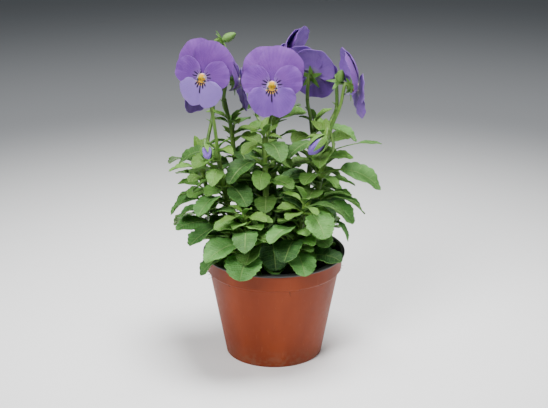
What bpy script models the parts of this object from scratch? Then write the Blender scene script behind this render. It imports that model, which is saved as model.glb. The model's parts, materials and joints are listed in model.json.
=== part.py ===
"""Horned violet in a nursery pot: pot, soil, leafy shoots, open flowers with their eyes, and buds.

Metres, +Z up. The origin is the middle of the pot's base, and the flowers' best side looks along -Y.
Azimuths are in degrees from -Y round to +X, elevations above the horizon.
"""

import math
from collections import namedtuple

import bmesh
import bpy
import numpy as np
from mathutils.kdtree import KDTree

# Pot: a thin two-tone sheet, turned about Z
POT_HEIGHT = 0.070
POT_RIM_RADIUS = 0.046
POT_BASE_RADIUS = 0.031
POT_WALL = 0.0012
POT_SIDES = 30
COLLAR_HEIGHT = 0.0115
COLLAR_STEP = 0.0016
LIP_OUT = 0.0017
LIP_THICK = 0.0020
FOOT_WIDTH = 0.006
BASE_DISC_RADIUS = 0.012
BASE_CHANNEL = 0.0022
DRAIN_HOLES = 6
DRAIN_RADIUS = 0.0028
DRAIN_CUT = 0.008
HOLE_SIDES = 8

# Soil
SOIL_TOP = 0.0605
SOIL_BUMP = 0.0011
SOIL_SIDES = 24
GAP = 0.0004

# Shoots
SOCKET_DEPTH = 0.012
STEM_SIDES = 6
STEM_ROWS = 7
STEM_TOP_SHARE = 0.55
PEDUNCLE_RADIUS = 0.00105
STALK_ROWS = 6
STALK_SIDES = 5
RECEPTACLE_RADIUS = 0.0020
STALK_HANG = 0.0125
STALK_BEHIND = 0.0062
CROOK_RISE = 0.0022
CROOK_BEHIND = 0.0034
STIPULE_LENGTH = 0.0085
STIPULE_THICK = 0.0007
STIPULE_TURN = 62
STIPULE_RISE = 38
STIPULE_DROOP = -0.25
STIPULE_SHAPE = ((0.0, 0.12), (0.26, 0.30), (0.50, 0.16), (1.0, 0.06))
PETIOLE_RADIUS = 0.00085
BLADE_STEPS = 24
BLADE_THICK = 0.0008
BLADE_RIB = -0.06
TEETH = 3
TOOTH_DEPTH = 0.10
# Width over length of a slender and of a round leaf, how blunt the outline of each is, and how far its widest
# place lies from its base
LEAF_RATIOS = (0.50, 0.85)
LEAF_BLUNTNESS = (0.78, 0.48)
LEAF_SWELLS = (0.86, 0.97)
# Slopes from stem to tip of a shoot's lowest and highest leaf
LOW_RISES = (36, 20, -24, -60)
HIGH_RISES = (50, 28, -12, -46)
# Where a leaf may go instead: swung round its stem, tipped, or moved along it; and the room it needs
TURNS = (0, 15, -15, 30, -30, 46, -46, 64, -64, 84, -84, 106, -106)
TIPS = (0, 14, -12, 26, -24)
SHIFTS = (0, 0.05, -0.05)
BLADE_ROOM = 0.0033
STALK_ROOM = 0.0032
INSIDE_LIP = 0.0045
OUTSIDE_LIP = 0.0042
ABOVE_LIP = 0.0016
ABOVE_SOIL = 0.0026
SHOWN_CUP = 0.10
WINDOW_TURNS = (52, 64, 76, 88, 100)
WINDOW_REACH = 0.041
WINDOW_HEIGHTS = (0.071, 0.079, 0.087)

Shoot = namedtuple("Shoot", "name foot tip girth leaves first_turn")
SHOOTS = [
    Shoot("shoot_1", (-0.003, -0.010), (-0.006, -0.007, 0.148), 0.0027, 7, -30),
    Shoot("shoot_2", (0.014, -0.004), (0.033, -0.003, 0.146), 0.0025, 5, 150),
    Shoot("shoot_3", (-0.014, -0.007), (-0.036, -0.010, 0.140), 0.0024, 6, -70),
    Shoot("shoot_4", (-0.011, 0.007), (-0.028, 0.022, 0.148), 0.0023, 6, 190),
    Shoot("shoot_5", (0.000, 0.016), (0.000, 0.036, 0.150), 0.0024, 6, 160),
    Shoot("shoot_6", (0.013, 0.009), (0.026, 0.028, 0.146), 0.0023, 6, 110),
    Shoot("shoot_7", (-0.021, 0.002), (-0.048, 0.018, 0.122), 0.0021, 6, 250),
    Shoot("shoot_8", (0.009, -0.018), (0.019, -0.027, 0.110), 0.0021, 4, 60),
    Shoot("shoot_9", (-0.010, -0.020), (-0.019, -0.030, 0.104), 0.0020, 5, 30),
]

# The large leaves that face the front, each at a share of its shoot; rises are its slopes from stem to tip
ShownLeaf = namedtuple("ShownLeaf", "shoot share azimuth rises petiole length width roll")
SHOWN_LEAVES = [
    ShownLeaf(1, 0.76, 93, (25, 5, -22, -58), 0.013, 0.031, 0.0205, -18),
    ShownLeaf(1, 0.90, 92, (24, 12, 0, -15), 0.023, 0.015, 0.0070, 0),
    ShownLeaf(1, 0.33, 66, (46, 20, -58, -84), 0.026, 0.016, 0.0065, 0),
    ShownLeaf(7, 0.88, 36, (40, 10, -40, -66), 0.010, 0.020, 0.0200, -8),
    ShownLeaf(8, 0.46, -14, (52, 6, -24, -46), 0.014, 0.023, 0.0240, 4),
    ShownLeaf(8, 0.40, -56, (50, 4, -34, -58), 0.020, 0.024, 0.0225, -8),
    ShownLeaf(7, 0.42, 14, (46, 8, -26, -46), 0.013, 0.020, 0.0185, 6),
    ShownLeaf(7, 0.60, -20, (40, 12, -24, -46), 0.010, 0.021, 0.0190, -10),
    ShownLeaf(0, 0.32, 10, (44, 6, -34, -56), 0.016, 0.021, 0.0205, 4),
    ShownLeaf(1, 0.62, -20, (20, -8, -50, -68), 0.010, 0.0195, 0.0185, 6),
    ShownLeaf(1, 0.56, 44, (20, 0, -42, -62), 0.011, 0.020, 0.0175, -6),
    ShownLeaf(1, 0.70, -78, (50, 30, -10, -48), 0.010, 0.021, 0.0135, 14),
    ShownLeaf(2, 0.74, 38, (34, 8, -28, -54), 0.009, 0.019, 0.0165, -8),
]

# Flowers: heading and lift give where the face looks, start is the share of the shoot where the stalk leaves,
# and reflex how far the upper petals bend back and the lower one forward at their rims
Bloom = namedtuple("Bloom", "name shoot start centre heading lift twist size reflex")
BLOOMS = [
    Bloom("bloom_1", 0, 0.90, (-0.001, -0.015, 0.1845), -8, 14, 2, 1.00, 0.02),
    Bloom("bloom_2", 2, 0.92, (-0.0440, -0.014, 0.1895), -20, 6, -5, 0.95, 0.02),
    Bloom("bloom_3", 5, 0.90, (0.0245, 0.026, 0.1795), 160, 12, 0, 0.92, 0.12),
    Bloom("bloom_4", 1, 0.86, (0.051, 0.000, 0.1790), 104, -4, 6, 0.98, 0.25),
    Bloom("bloom_5", 3, 0.90, (-0.023, 0.018, 0.1770), 104, 4, 0, 0.94, 0.16),
    Bloom("bloom_6", 4, 0.92, (0.008, 0.050, 0.1850), 248, 10, 0, 0.88, 0.10),
    Bloom("bloom_7", 6, 0.90, (-0.047, 0.040, 0.1670), 232, 8, 0, 0.92, 0.10),
]
Bud = namedtuple("Bud", "name shoot start centre heading lift size green")
BUDS = [
    Bud("bud_1", 1, 0.72, (0.030, -0.018, 0.1500), -60, -38, 1.25, False),
    Bud("bud_2", 2, 0.74, (-0.042, -0.030, 0.1480), 10, -20, 0.95, False),
    Bud("bud_3", 4, 0.78, (-0.014, 0.055, 0.1530), 200, -30, 0.95, False),
    Bud("pod_1", 3, 0.96, (-0.031, 0.037, 0.2005), 110, 24, 0.85, True),
    Bud("pod_2", 1, 0.95, (0.0415, 0.009, 0.1820), 20, 60, 0.85, True),
]

# Petals: axis angle from straight up, length, half-angle of the fan, bluntness of its outline, distance in
# front of the throat, tilt forwards, curl back, notch at the tip, and waviness
Petal = namedtuple("Petal", "name angle length spread blunt layer tilt curl notch ruffle")
PETALS = [
    Petal("upper_left", -25, 0.0252, 70, 0.34, -0.0004, -0.05, -0.08, 0.00, 0.020),
    Petal("upper_right", 25, 0.0252, 70, 0.34, 0.0004, 0.02, -0.08, 0.00, 0.020),
    Petal("side_left", -72, 0.0198, 56, 0.40, 0.0012, 0.13, -0.13, 0.00, 0.016),
    Petal("side_right", 72, 0.0198, 56, 0.40, 0.0012, 0.13, -0.13, 0.00, 0.016),
    Petal("lower", 180, 0.0205, 84, 0.22, 0.0020, 0.24, -0.24, 0.10, 0.018),
]
PETAL_ROWS = ((0.0, 2), (0.55, 5), (1.0, 7))
PETAL_THICK = 0.00065
CLAW_RADIUS = 0.0020
HUB_RADIUS = 0.0030
HUB_BACK = -0.0016
HUB_FRONT = 0.0026
HUB_SIDES = 6
CLAW_SHARE = 0.28
THROAT_RADIUS = 0.0014
EYE_PROFILE = ((0.0007, -0.0011), (0.0009, 0.0030), (0.0023, 0.0036), (0.0013, 0.0046))
SPUR_LINE = ((0, -0.0024, 0.0004), (0, -0.0041, -0.0018), (0, -0.0050, -0.0062))
SPUR_RADII = (0.0010, 0.0010, 0.0007)
RECEPTACLE_BACK = -0.0042
SEPAL_REACH = 0.0096
SEPAL_DEPTH = -0.0026
SEPAL_WIDTH = 0.0025
SEPAL_THICK = 0.0007
SEPAL_ANGLES = (0, 68, 138, 222, 292)
# Reach and depth of points on spread sepals, and of a bud's shut ones at their widest, to judge clearance by
SEPAL_MARKS = ((0.005, -0.0033), (0.009, -0.0030))
SHUT_SEPAL_MARK = (0.0045, 0.0014)
BUD_MARKS = (-0.004, 0, 0.004, 0.008)
SHUT_SEPAL = ((0.0016, -0.0027, 0.40), (0.0047, 0.0014, 1.00), (0.0037, 0.0072, 0.20))
STAR_POINTS = ((-30, 0.24), (-9, 0.60), (4, 1.0), (26, 0.34))
POD_BACK = 0.0012
BUD_PROFILE = ((0.0010, -0.0018), (0.0028, 0.0006), (0.0034, 0.0035), (0.0026, 0.0070), (0.0010, 0.0095))
BUD_SIDES = 6
BUD_TWIST = 0.22

LEAF_SEED = 11
STEM_GREEN = (0.25, 0.40, 0.09)
VIOLET = (0.27, 0.17, 0.48)
YELLOW = (0.80, 0.52, 0.04)
TERRACOTTA = (0.34, 0.09, 0.035)
PEAT = (0.028, 0.019, 0.013)


# Directions and curves


def towards(azimuth, elevation):
    a, e = math.radians(azimuth), math.radians(elevation)
    return np.array([math.sin(a) * math.cos(e), -math.cos(a) * math.cos(e), math.sin(e)])


def unit(v):
    return v / np.linalg.norm(v)


def smooth_path(knots, count):
    """count points, evenly spaced, on a Catmull-Rom curve through the knots."""
    knots = np.array(knots, float)
    ends = np.vstack([2 * knots[0] - knots[1], knots, 2 * knots[-1] - knots[-2]])
    t = np.linspace(0, 1, 16, endpoint=False)[:, None]
    dense = []
    for a, b, c, d in zip(ends, ends[1:], ends[2:], ends[3:]):
        cubic = (2 * a - 5 * b + 4 * c - d) * t**2 + (3 * b - a - 3 * c + d) * t**3
        dense.append(0.5 * (2 * b + (c - a) * t + cubic))
    dense = np.vstack(dense + [knots[-1:]])
    run = np.r_[0, np.cumsum(np.linalg.norm(np.diff(dense, axis=0), axis=1))]
    want = np.linspace(0, run[-1], count)
    return np.column_stack([np.interp(want, run, dense[:, k]) for k in range(3)])


def along(path, share):
    """The point at that share of a path of evenly spaced points."""
    at = np.linspace(0, 1, len(path))
    return np.array([np.interp(share, at, path[:, k]) for k in range(3)])


# The plan: where every stem, stalk, flower and leaf goes


def stem_path(shoot, count=25):
    foot = np.array([*shoot.foot, SOIL_TOP])
    tip = np.array(shoot.tip)
    knee = foot + (tip - foot) * (0.62, 0.62, 0.45)
    root = foot - (0, 0, SOCKET_DEPTH)
    return smooth_path([root, foot + (0, 0, 0.004), knee, tip], count)


def face_frame(heading, lift, twist=0.0):
    """Right, up and outward unit vectors of a flower, seen by someone it faces."""
    out = towards(heading, lift)
    up = unit(np.array([0, 0, 1.0]) - out * out[2])
    right = np.cross(up, out)
    t = math.radians(twist)
    return right * math.cos(t) + up * math.sin(t), up * math.cos(t) - right * math.sin(t), out


def head_frame(head):
    return face_frame(head.heading, head.lift, getattr(head, "twist", 0))


def stalk_path(head, count):
    """A flower stalk: up from the stem, over a hook behind the flower and into its receptacle."""
    _, up, out = head_frame(head)
    begin = along(stem_path(SHOOTS[head.shoot]), head.start)
    end = np.array(head.centre) + out * (RECEPTACLE_BACK + 0.0006) * head.size
    crook = end + up * CROOK_RISE - out * CROOK_BEHIND
    below = end - np.array([0, 0, STALK_HANG]) - out * STALK_BEHIND
    rise = begin * 0.55 + below * 0.45 + (0, 0, 0.004)
    return smooth_path([begin, rise, below, crook, end], count)


Leaf = namedtuple("Leaf", "shoot share root azimuth rises petiole length width roll cup swing seed")


def leaf_spine(leaf, petiole_rows, blade_rows):
    """Middle, tangent, side and normal at points along the petiole, then along the blade."""
    total = leaf.petiole + leaf.length
    run = np.linspace(0, total, 3 * BLADE_STEPS)
    base = leaf.petiole
    rise = np.interp(run, [0, base * 0.9, base + leaf.length * 0.35, total], leaf.rises)
    turn = leaf.azimuth + leaf.swing * (run / total) ** 2
    heading = np.array([towards(a, e) for a, e in zip(turn, rise)])
    step = run[1]
    middle = leaf.root + np.vstack([np.zeros(3), np.cumsum(heading[:-1] * step, axis=0)])
    wanted = np.r_[
        np.linspace(0, base, petiole_rows, endpoint=False),
        base + leaf.length * np.linspace(0, 1, blade_rows),
    ]
    rows = []
    for w in wanted:
        m = np.array([np.interp(w, run, middle[:, k]) for k in range(3)])
        tangent = unit(np.array([np.interp(w, run, heading[:, k]) for k in range(3)]))
        side = unit(np.cross(tangent, np.array([0, 0, 1.0])))
        normal = np.cross(side, tangent)
        r = math.radians(leaf.roll) * min(1.0, w / base)
        side, normal = side * math.cos(r) + normal * math.sin(r), normal * math.cos(r) - side * math.sin(r)
        rows.append((m, tangent, side, normal))
    return rows


def blade_half_width(leaf, share, teeth=TEETH, depth=TOOTH_DEPTH):
    """Half-width of a spoon-shaped blade with rounded teeth, at a share of its length."""
    share = np.clip(share, 0, 1)
    blunt = np.interp(leaf.width / leaf.length, LEAF_RATIOS, LEAF_BLUNTNESS)
    swell = np.interp(leaf.width / leaf.length, LEAF_RATIOS, LEAF_SWELLS)
    body = np.sin(math.pi * share**swell) ** blunt
    scallop = 1 - depth * (1 - np.abs(np.sin(math.pi * teeth * share)))
    return leaf.width / 2 * body * scallop


def leaf_points(leaf):
    """Points on the blade and petiole, close enough together to judge clearance by."""
    rows = leaf_spine(leaf, 1, 9)
    root, base = rows[0][0], rows[1][0]
    petiole = [root + (base - root) * share for share in (0.35, 0.6, 0.85)]
    blade = []
    for k, (m, _, side, normal) in enumerate(rows[1:]):
        half = float(blade_half_width(leaf, k / 8, depth=0))
        for t in (-1, -0.6, -0.2, 0.2, 0.6, 1):
            blade.append(m + side * half * t + normal * leaf.cup * half * t * t)
    return np.array(petiole), np.array(blade)


def petal_radius(petal, theta):
    """Outline of a petal's fan: its radius from the throat at an angle off its axis, in degrees."""
    fan = np.cos(np.radians(theta * 88 / petal.spread)) ** petal.blunt
    dent = 1 - petal.notch * np.exp(-((theta / 9) ** 2))
    return petal.length * fan * dent


def petal_point(bloom, petal, rho, theta):
    """A point of the petal's middle surface, as right, up and outward distances from the throat."""
    narrow = CLAW_SHARE + (1 - CLAW_SHARE) * np.clip(rho * 2.2, 0, 1)
    angle = np.radians(petal.angle + theta * narrow)
    radius = CLAW_RADIUS + (petal_radius(petal, theta) - CLAW_RADIUS) * rho
    phase = math.radians(bloom.heading * 3 + petal.angle)
    wave = petal.ruffle * np.sin(np.radians(theta) * 5 + phase) * rho**3
    bend = bloom.reflex * math.cos(math.radians(petal.angle)) * (radius / petal.length) ** 4
    depth = petal.layer + petal.length * (petal.tilt * rho + petal.curl * rho**2 + wave - bend)
    return bloom.size * np.array([radius * np.sin(angle), radius * np.cos(angle), depth])


def in_frame(centre, frame, local):
    right, up, out = frame
    return np.array(centre) + right * local[0] + up * local[1] + out * local[2]


def place(points, centre, frame):
    return [in_frame(centre, frame, p) for p in points]


def bloom_points(bloom):
    frame = head_frame(bloom)
    found = []
    for petal in PETALS:
        for rho in (0.3, 0.55, 0.8, 1.0):
            for theta in np.linspace(-0.92, 0.92, 7) * petal.spread:
                found.append(in_frame(bloom.centre, frame, petal_point(bloom, petal, rho, theta)))
    for angle in SEPAL_ANGLES:
        a = math.radians(angle)
        for reach, back in SEPAL_MARKS:
            local = bloom.size * np.array([reach * math.sin(a), reach * math.cos(a), back])
            found.append(in_frame(bloom.centre, frame, local))
    return np.array(found)


def bud_points(bud):
    """Points down the middle of a bud and at its sepals' widest."""
    marks = [(0, 0, depth) for depth in BUD_MARKS]
    reach, depth = SHUT_SEPAL_MARK
    for angle in np.radians(SEPAL_ANGLES):
        marks.append((reach * math.sin(angle), reach * math.cos(angle), depth))
    return np.array(place(np.array(marks) * bud.size, bud.centre, head_frame(bud)))


def tree_of(points):
    tree = KDTree(len(points))
    for k, p in enumerate(points):
        tree.insert(p, k)
    tree.balance()
    return tree


def is_clear(points, tree, room):
    return all(tree.find(p)[2] >= room for p in points)


def clear_of_pot(points):
    """Whether the points stay off the rim and above the soil."""
    reach = np.hypot(points[:, 0], points[:, 1])
    low = points[:, 2] < POT_HEIGHT + ABOVE_LIP
    inside = reach < POT_RIM_RADIUS - INSIDE_LIP
    outside = reach > POT_RIM_RADIUS + OUTSIDE_LIP
    above_soil = points[:, 2] > SOIL_TOP + ABOVE_SOIL
    return bool(np.all(~low | outside | (inside & above_soil)))


def rim_window():
    """Points over the right of the rim, where no leaf grows and the pot's black inside shows."""
    turns = np.radians(WINDOW_TURNS)
    ring = np.column_stack([np.sin(turns), -np.cos(turns)]) * WINDOW_REACH
    return np.array([(x, y, z) for x, y in ring for z in WINDOW_HEIGHTS])


def leaf_at(index, shoot, order, rng):
    """The leaf that wants to grow at that order up the shoot, low ones round and long-stalked."""
    high = order / max(1, shoot.leaves - 1)
    share = 0.17 + 0.76 * high
    azimuth = shoot.first_turn + 137.5 * order + rng.uniform(-12, 12)
    droop = rng.uniform(-16, 14)
    sags = zip(LOW_RISES, HIGH_RISES, (0, 0.5, 1, 1))
    rises = tuple(low + (top - low) * high + droop * sag for low, top, sag in sags)
    length = (0.0285 - 0.0050 * high) * rng.uniform(0.88, 1.12)
    width = length * (0.86 - 0.22 * high) * rng.uniform(0.94, 1.08)
    petiole = (0.0175 - 0.0085 * high) * rng.uniform(0.85, 1.15)
    root = along(stem_path(shoot), share)
    roll, cup, swing = rng.uniform(-16, 16), rng.uniform(0.02, 0.20), rng.uniform(-16, 16)
    seed = int(rng.integers(1, 10**6))
    return Leaf(index, share, root, azimuth, rises, petiole, length, width, roll, cup, swing, seed)


def shown_leaf(shown, rng):
    root = along(stem_path(SHOOTS[shown.shoot]), shown.share)
    seed = int(rng.integers(1, 10**6))
    shape = (shown.azimuth, shown.rises, shown.petiole, shown.length, shown.width, shown.roll)
    return Leaf(shown.shoot, shown.share, root, *shape, SHOWN_CUP, 0.0, seed)


def trials(wanted):
    """The leaf as wanted, then swung, tipped and moved along its stem, then smaller."""
    stem = stem_path(SHOOTS[wanted.shoot])
    for shrink in (1.0, 0.86, 0.74):
        for shift in SHIFTS:
            root = along(stem, wanted.share + shift)
            for tip in TIPS:
                rises = tuple(r + tip * k for r, k in zip(wanted.rises, (0.4, 0.8, 1, 1)))
                for turn in TURNS:
                    yield wanted._replace(
                        share=wanted.share + shift,
                        root=root,
                        azimuth=wanted.azimuth + turn,
                        rises=rises,
                        length=wanted.length * shrink,
                        width=wanted.width * shrink,
                    )


def plan_leaves():
    """The leaves shown first, then leaves in turn from the bottom up, each clear of all before it."""
    rng = np.random.default_rng(LEAF_SEED)
    stems = [stem_path(s, 60) for s in SHOOTS]
    taken = [(-1, rim_window())]
    for head in BLOOMS + BUDS:
        taken.append((head.shoot, stalk_path(head, 30)))
        taken.append((-1, bloom_points(head) if head in BLOOMS else bud_points(head)))
    wishes = [shown_leaf(shown, rng) for shown in SHOWN_LEAVES]
    for order in range(max(s.leaves for s in SHOOTS)):
        wishes += [leaf_at(k, s, order, rng) for k, s in enumerate(SHOOTS) if order < s.leaves]
    leaves = []
    for wanted in wishes:
        everything = tree_of(np.vstack([p for _, p in taken] + stems))
        others = tree_of(
            np.vstack(
                [p for owner, p in taken if owner != wanted.shoot]
                + [s for k, s in enumerate(stems) if k != wanted.shoot]
            )
        )
        for leaf in trials(wanted):
            petiole, blade = leaf_points(leaf)
            if not clear_of_pot(np.vstack([petiole, blade])):
                continue
            if is_clear(petiole, others, STALK_ROOM) and is_clear(blade, everything, BLADE_ROOM):
                leaves.append(leaf)
                taken.append((leaf.shoot, np.vstack([petiole, blade])))
                break
    return leaves


# Mesh helpers


def tube(path, radii, sides, turn=0.0):
    """A closed tube along a path: points and faces."""
    path = np.array(path)
    radii = np.broadcast_to(radii, len(path))
    tangent = np.gradient(path, axis=0)
    tangent /= np.linalg.norm(tangent, axis=1)[:, None]
    first = np.array([1.0, 0, 0]) if abs(tangent[0][0]) < 0.9 else np.array([0, 1.0, 0])
    side = unit(np.cross(tangent[0], first))
    points = []
    for p, t, r in zip(path, tangent, radii):
        side = unit(side - t * (side @ t))
        other = np.cross(t, side)
        for k in range(sides):
            a = 2 * math.pi * k / sides + turn
            points.append(p + r * (side * math.cos(a) + other * math.sin(a)))
    faces = ring_faces(len(path), sides)
    return points, faces


def ring_faces(rings, sides):
    """Faces of a closed skin over rings of that many points, with flat ends."""
    faces = [tuple(range(sides - 1, -1, -1))]
    for i in range(rings - 1):
        for k in range(sides):
            a, b = i * sides + k, i * sides + (k + 1) % sides
            faces.append((a, b, b + sides, a + sides))
    last = (rings - 1) * sides
    faces.append(tuple(range(last, last + sides)))
    return faces


def zipped(first, second, a, b):
    """Triangles between two rows of points of any counts, first and second being their first indices."""
    faces = []
    i = j = 0
    while i < a - 1 or j < b - 1:
        if j == b - 1 or (i < a - 1 and (i + 1) * (b - 1) < (j + 1) * (a - 1)):
            faces.append((first + i, first + i + 1, second + j))
            i += 1
        else:
            faces.append((first + i, second + j + 1, second + j))
            j += 1
    return faces


def sheet(rows):
    """An open sheet of triangles over rows of points, which may hold different numbers of them."""
    starts = np.cumsum([0] + [len(row) for row in rows])
    points = [p for row in rows for p in row]
    faces = []
    for k in range(len(rows) - 1):
        faces += zipped(int(starts[k]), int(starts[k + 1]), len(rows[k]), len(rows[k + 1]))
    return points, faces


def material(name, colour, roughness):
    made = bpy.data.materials.get(name) or bpy.data.materials.new(name)
    made.use_nodes = True
    shader = made.node_tree.nodes["Principled BSDF"]
    shader.inputs["Base Color"].default_value = (*colour, 1)
    shader.inputs["Roughness"].default_value = roughness
    return made


def add(name, points, faces, collection=None, thick=0.0):
    """An object from points and faces; a sheet is given its thickness evenly about its middle."""
    mesh = bpy.data.meshes.new(name)
    mesh.from_pydata([tuple(p) for p in points], [], faces)
    work = bmesh.new()
    work.from_mesh(mesh)
    bmesh.ops.recalc_face_normals(work, faces=work.faces)
    work.to_mesh(mesh)
    work.free()
    made = bpy.data.objects.new(name, mesh)
    (collection or bpy.context.scene.collection).objects.link(made)
    if thick:
        solidify = made.modifiers.new("thickness", "SOLIDIFY")
        solidify.thickness = thick
        solidify.offset = 0
    return made


def finish(made, colour, roughness, smooth_angle=40):
    """The material, named after the kind of node, and smooth shading across soft edges."""
    made.data.materials.clear()
    made.data.materials.append(material(made.name.rstrip("_0123456789"), colour, roughness))
    made.data.shade_smooth()
    made.data.set_sharp_from_angle(angle=math.radians(smooth_angle))


def fuse(name, pieces, colour, roughness):
    """Closed pieces, and sheets with a thickness, joined into one body."""
    made = add(name, *pieces[0])
    others = bpy.data.collections.new(name + "_pieces")
    bpy.context.scene.collection.children.link(others)
    for k, piece in enumerate(pieces[1:]):
        add(f"{name}_piece_{k}", piece[0], piece[1], others, *piece[2:])
    boolean = made.modifiers.new("join", "BOOLEAN")
    boolean.operation = "UNION"
    boolean.operand_type = "COLLECTION"
    boolean.collection = others
    boolean.solver = "MANIFOLD"
    graph = bpy.context.evaluated_depsgraph_get()
    mesh = bpy.data.meshes.new_from_object(made.evaluated_get(graph))
    made.modifiers.clear()
    made.data = mesh
    for piece in list(others.objects):
        bpy.data.objects.remove(piece)
    bpy.data.collections.remove(others)
    finish(made, colour, roughness)
    return made


def bore(made, places, radius, depth, sides):
    """Cut upright round holes of that depth, each centred at its place."""
    drills = bpy.data.collections.new(made.name + "_drills")
    bpy.context.scene.collection.children.link(drills)
    for k, place in enumerate(places):
        mesh = bpy.data.meshes.new(f"{made.name}_drill_{k}")
        work = bmesh.new()
        across = radius[k] if isinstance(radius, list) else radius
        bmesh.ops.create_cone(
            work, cap_ends=True, segments=sides, radius1=across, radius2=across, depth=depth
        )
        work.to_mesh(mesh)
        work.free()
        drill = bpy.data.objects.new(mesh.name, mesh)
        drill.location = place
        drill.hide_render = True
        drill.display_type = "WIRE"
        drills.objects.link(drill)
    boolean = made.modifiers.new("holes", "BOOLEAN")
    boolean.operation = "DIFFERENCE"
    boolean.operand_type = "COLLECTION"
    boolean.collection = drills


def turned(profile, sides):
    """A closed ring: a profile of radius and height turned about its axis."""
    points, faces = [], []
    count = len(profile)
    for r, z in profile:
        for a in np.arange(sides) * 2 * math.pi / sides:
            points.append((r * math.cos(a), r * math.sin(a), z))
    for i in range(count):
        for k in range(sides):
            n = (k + 1) % sides
            a, b = i * sides, (i + 1) % count * sides
            faces.append((a + k, a + n, b + n, b + k))
    return points, faces


# Pot and soil


def pot_radius(z):
    """Outer radius of the pot's tapered wall below the collar."""
    top = POT_RIM_RADIUS - COLLAR_STEP - 0.0022
    return POT_BASE_RADIUS + (top - POT_BASE_RADIUS) * z / (POT_HEIGHT - COLLAR_HEIGHT)


def make_pot():
    """Its profile, from the inner floor up over the lip and down outside to the base, turned about Z."""
    step_z = POT_HEIGHT - COLLAR_HEIGHT
    step = pot_radius(step_z)
    floor = BASE_CHANNEL + POT_WALL
    foot_in = POT_BASE_RADIUS - FOOT_WIDTH
    neck = POT_RIM_RADIUS - LIP_OUT
    profile = [
        (0.0, floor),
        (POT_BASE_RADIUS - POT_WALL, floor),
        (step - POT_WALL - 0.0002, step_z - 0.0014),
        (step + COLLAR_STEP - POT_WALL, step_z + 0.0006),
        (neck - POT_WALL, POT_HEIGHT),
        (POT_RIM_RADIUS, POT_HEIGHT - 0.0003),
        (POT_RIM_RADIUS, POT_HEIGHT - LIP_THICK + 0.0003),
        (neck, POT_HEIGHT - LIP_THICK),
        (step + COLLAR_STEP, step_z),
        (step - 0.0002, step_z - 0.0012),
        (POT_BASE_RADIUS, 0.0),
        (foot_in, 0.0),
        (foot_in - 0.001, BASE_CHANNEL),
        (BASE_DISC_RADIUS + 0.001, BASE_CHANNEL),
        (BASE_DISC_RADIUS, 0.0),
        (0.0, 0.0),
    ]
    mesh = bpy.data.meshes.new("pot")
    edges = [(k, k + 1) for k in range(len(profile) - 1)]
    mesh.from_pydata([(r, 0, z) for r, z in profile], edges, [])
    pot = bpy.data.objects.new("pot", mesh)
    bpy.context.scene.collection.objects.link(pot)
    screw = pot.modifiers.new("turn", "SCREW")
    screw.steps = screw.render_steps = POT_SIDES
    screw.use_merge_vertices = True
    screw.merge_threshold = 0.00001
    ring = (BASE_DISC_RADIUS + foot_in) / 2
    turns = np.radians(360 * (np.arange(DRAIN_HOLES) + 0.5) / DRAIN_HOLES)
    places = [(ring * math.cos(a), ring * math.sin(a), floor) for a in turns]
    bore(pot, places, DRAIN_RADIUS, DRAIN_CUT, HOLE_SIDES)
    finish(pot, TERRACOTTA, 0.45)


def soil_height(x, y):
    """A lightly mounded, crumbly top."""
    reach = math.hypot(x, y) / POT_RIM_RADIUS
    lumps = math.sin(x * 690 + 1.3) * math.cos(y * 570 - 0.4) + 0.7 * math.sin(x * 1130 - y * 910)
    return SOIL_TOP - 0.0016 * reach**2 + SOIL_BUMP * 0.5 * lumps * (1 - reach**4)


def make_soil():
    """A plug that fills the pot to just under its collar, with a socket for each stem."""
    step_z = POT_HEIGHT - COLLAR_HEIGHT
    flat = math.cos(math.pi / POT_SIDES)
    floor = BASE_CHANNEL + POT_WALL + GAP
    step_in = (pot_radius(step_z) - POT_WALL - 0.0002) * flat - GAP
    edge = step_in + 0.0006
    rings = [
        ((POT_BASE_RADIUS - POT_WALL) * flat - GAP * 1.5, floor),
        (step_in - 0.0003, step_z - 0.0016),
        (edge, None),
        (edge * 0.74, None),
        (edge * 0.40, None),
    ]
    turns = np.arange(SOIL_SIDES) * 2 * math.pi / SOIL_SIDES
    points = []
    for r, z in rings:
        for x, y in zip(r * np.cos(turns), r * np.sin(turns)):
            points.append((x, y, soil_height(x, y) if z is None else z))
    faces = ring_faces(len(rings), SOIL_SIDES)[:-1]
    points.append((0, 0, soil_height(0, 0)))
    last = (len(rings) - 1) * SOIL_SIDES
    faces += [(last + k, last + (k + 1) % SOIL_SIDES, len(points) - 1) for k in range(SOIL_SIDES)]
    soil = add("soil", points, faces)
    depth = 2 * SOCKET_DEPTH
    places = [(*shoot.foot, SOIL_TOP - SOCKET_DEPTH - GAP + depth / 2) for shoot in SHOOTS]
    radii = [(shoot.girth + GAP * 1.4) / math.cos(math.pi / HOLE_SIDES) for shoot in SHOOTS]
    bore(soil, places, radii, depth, HOLE_SIDES)
    finish(soil, PEAT, 0.95)


# Green pieces


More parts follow.
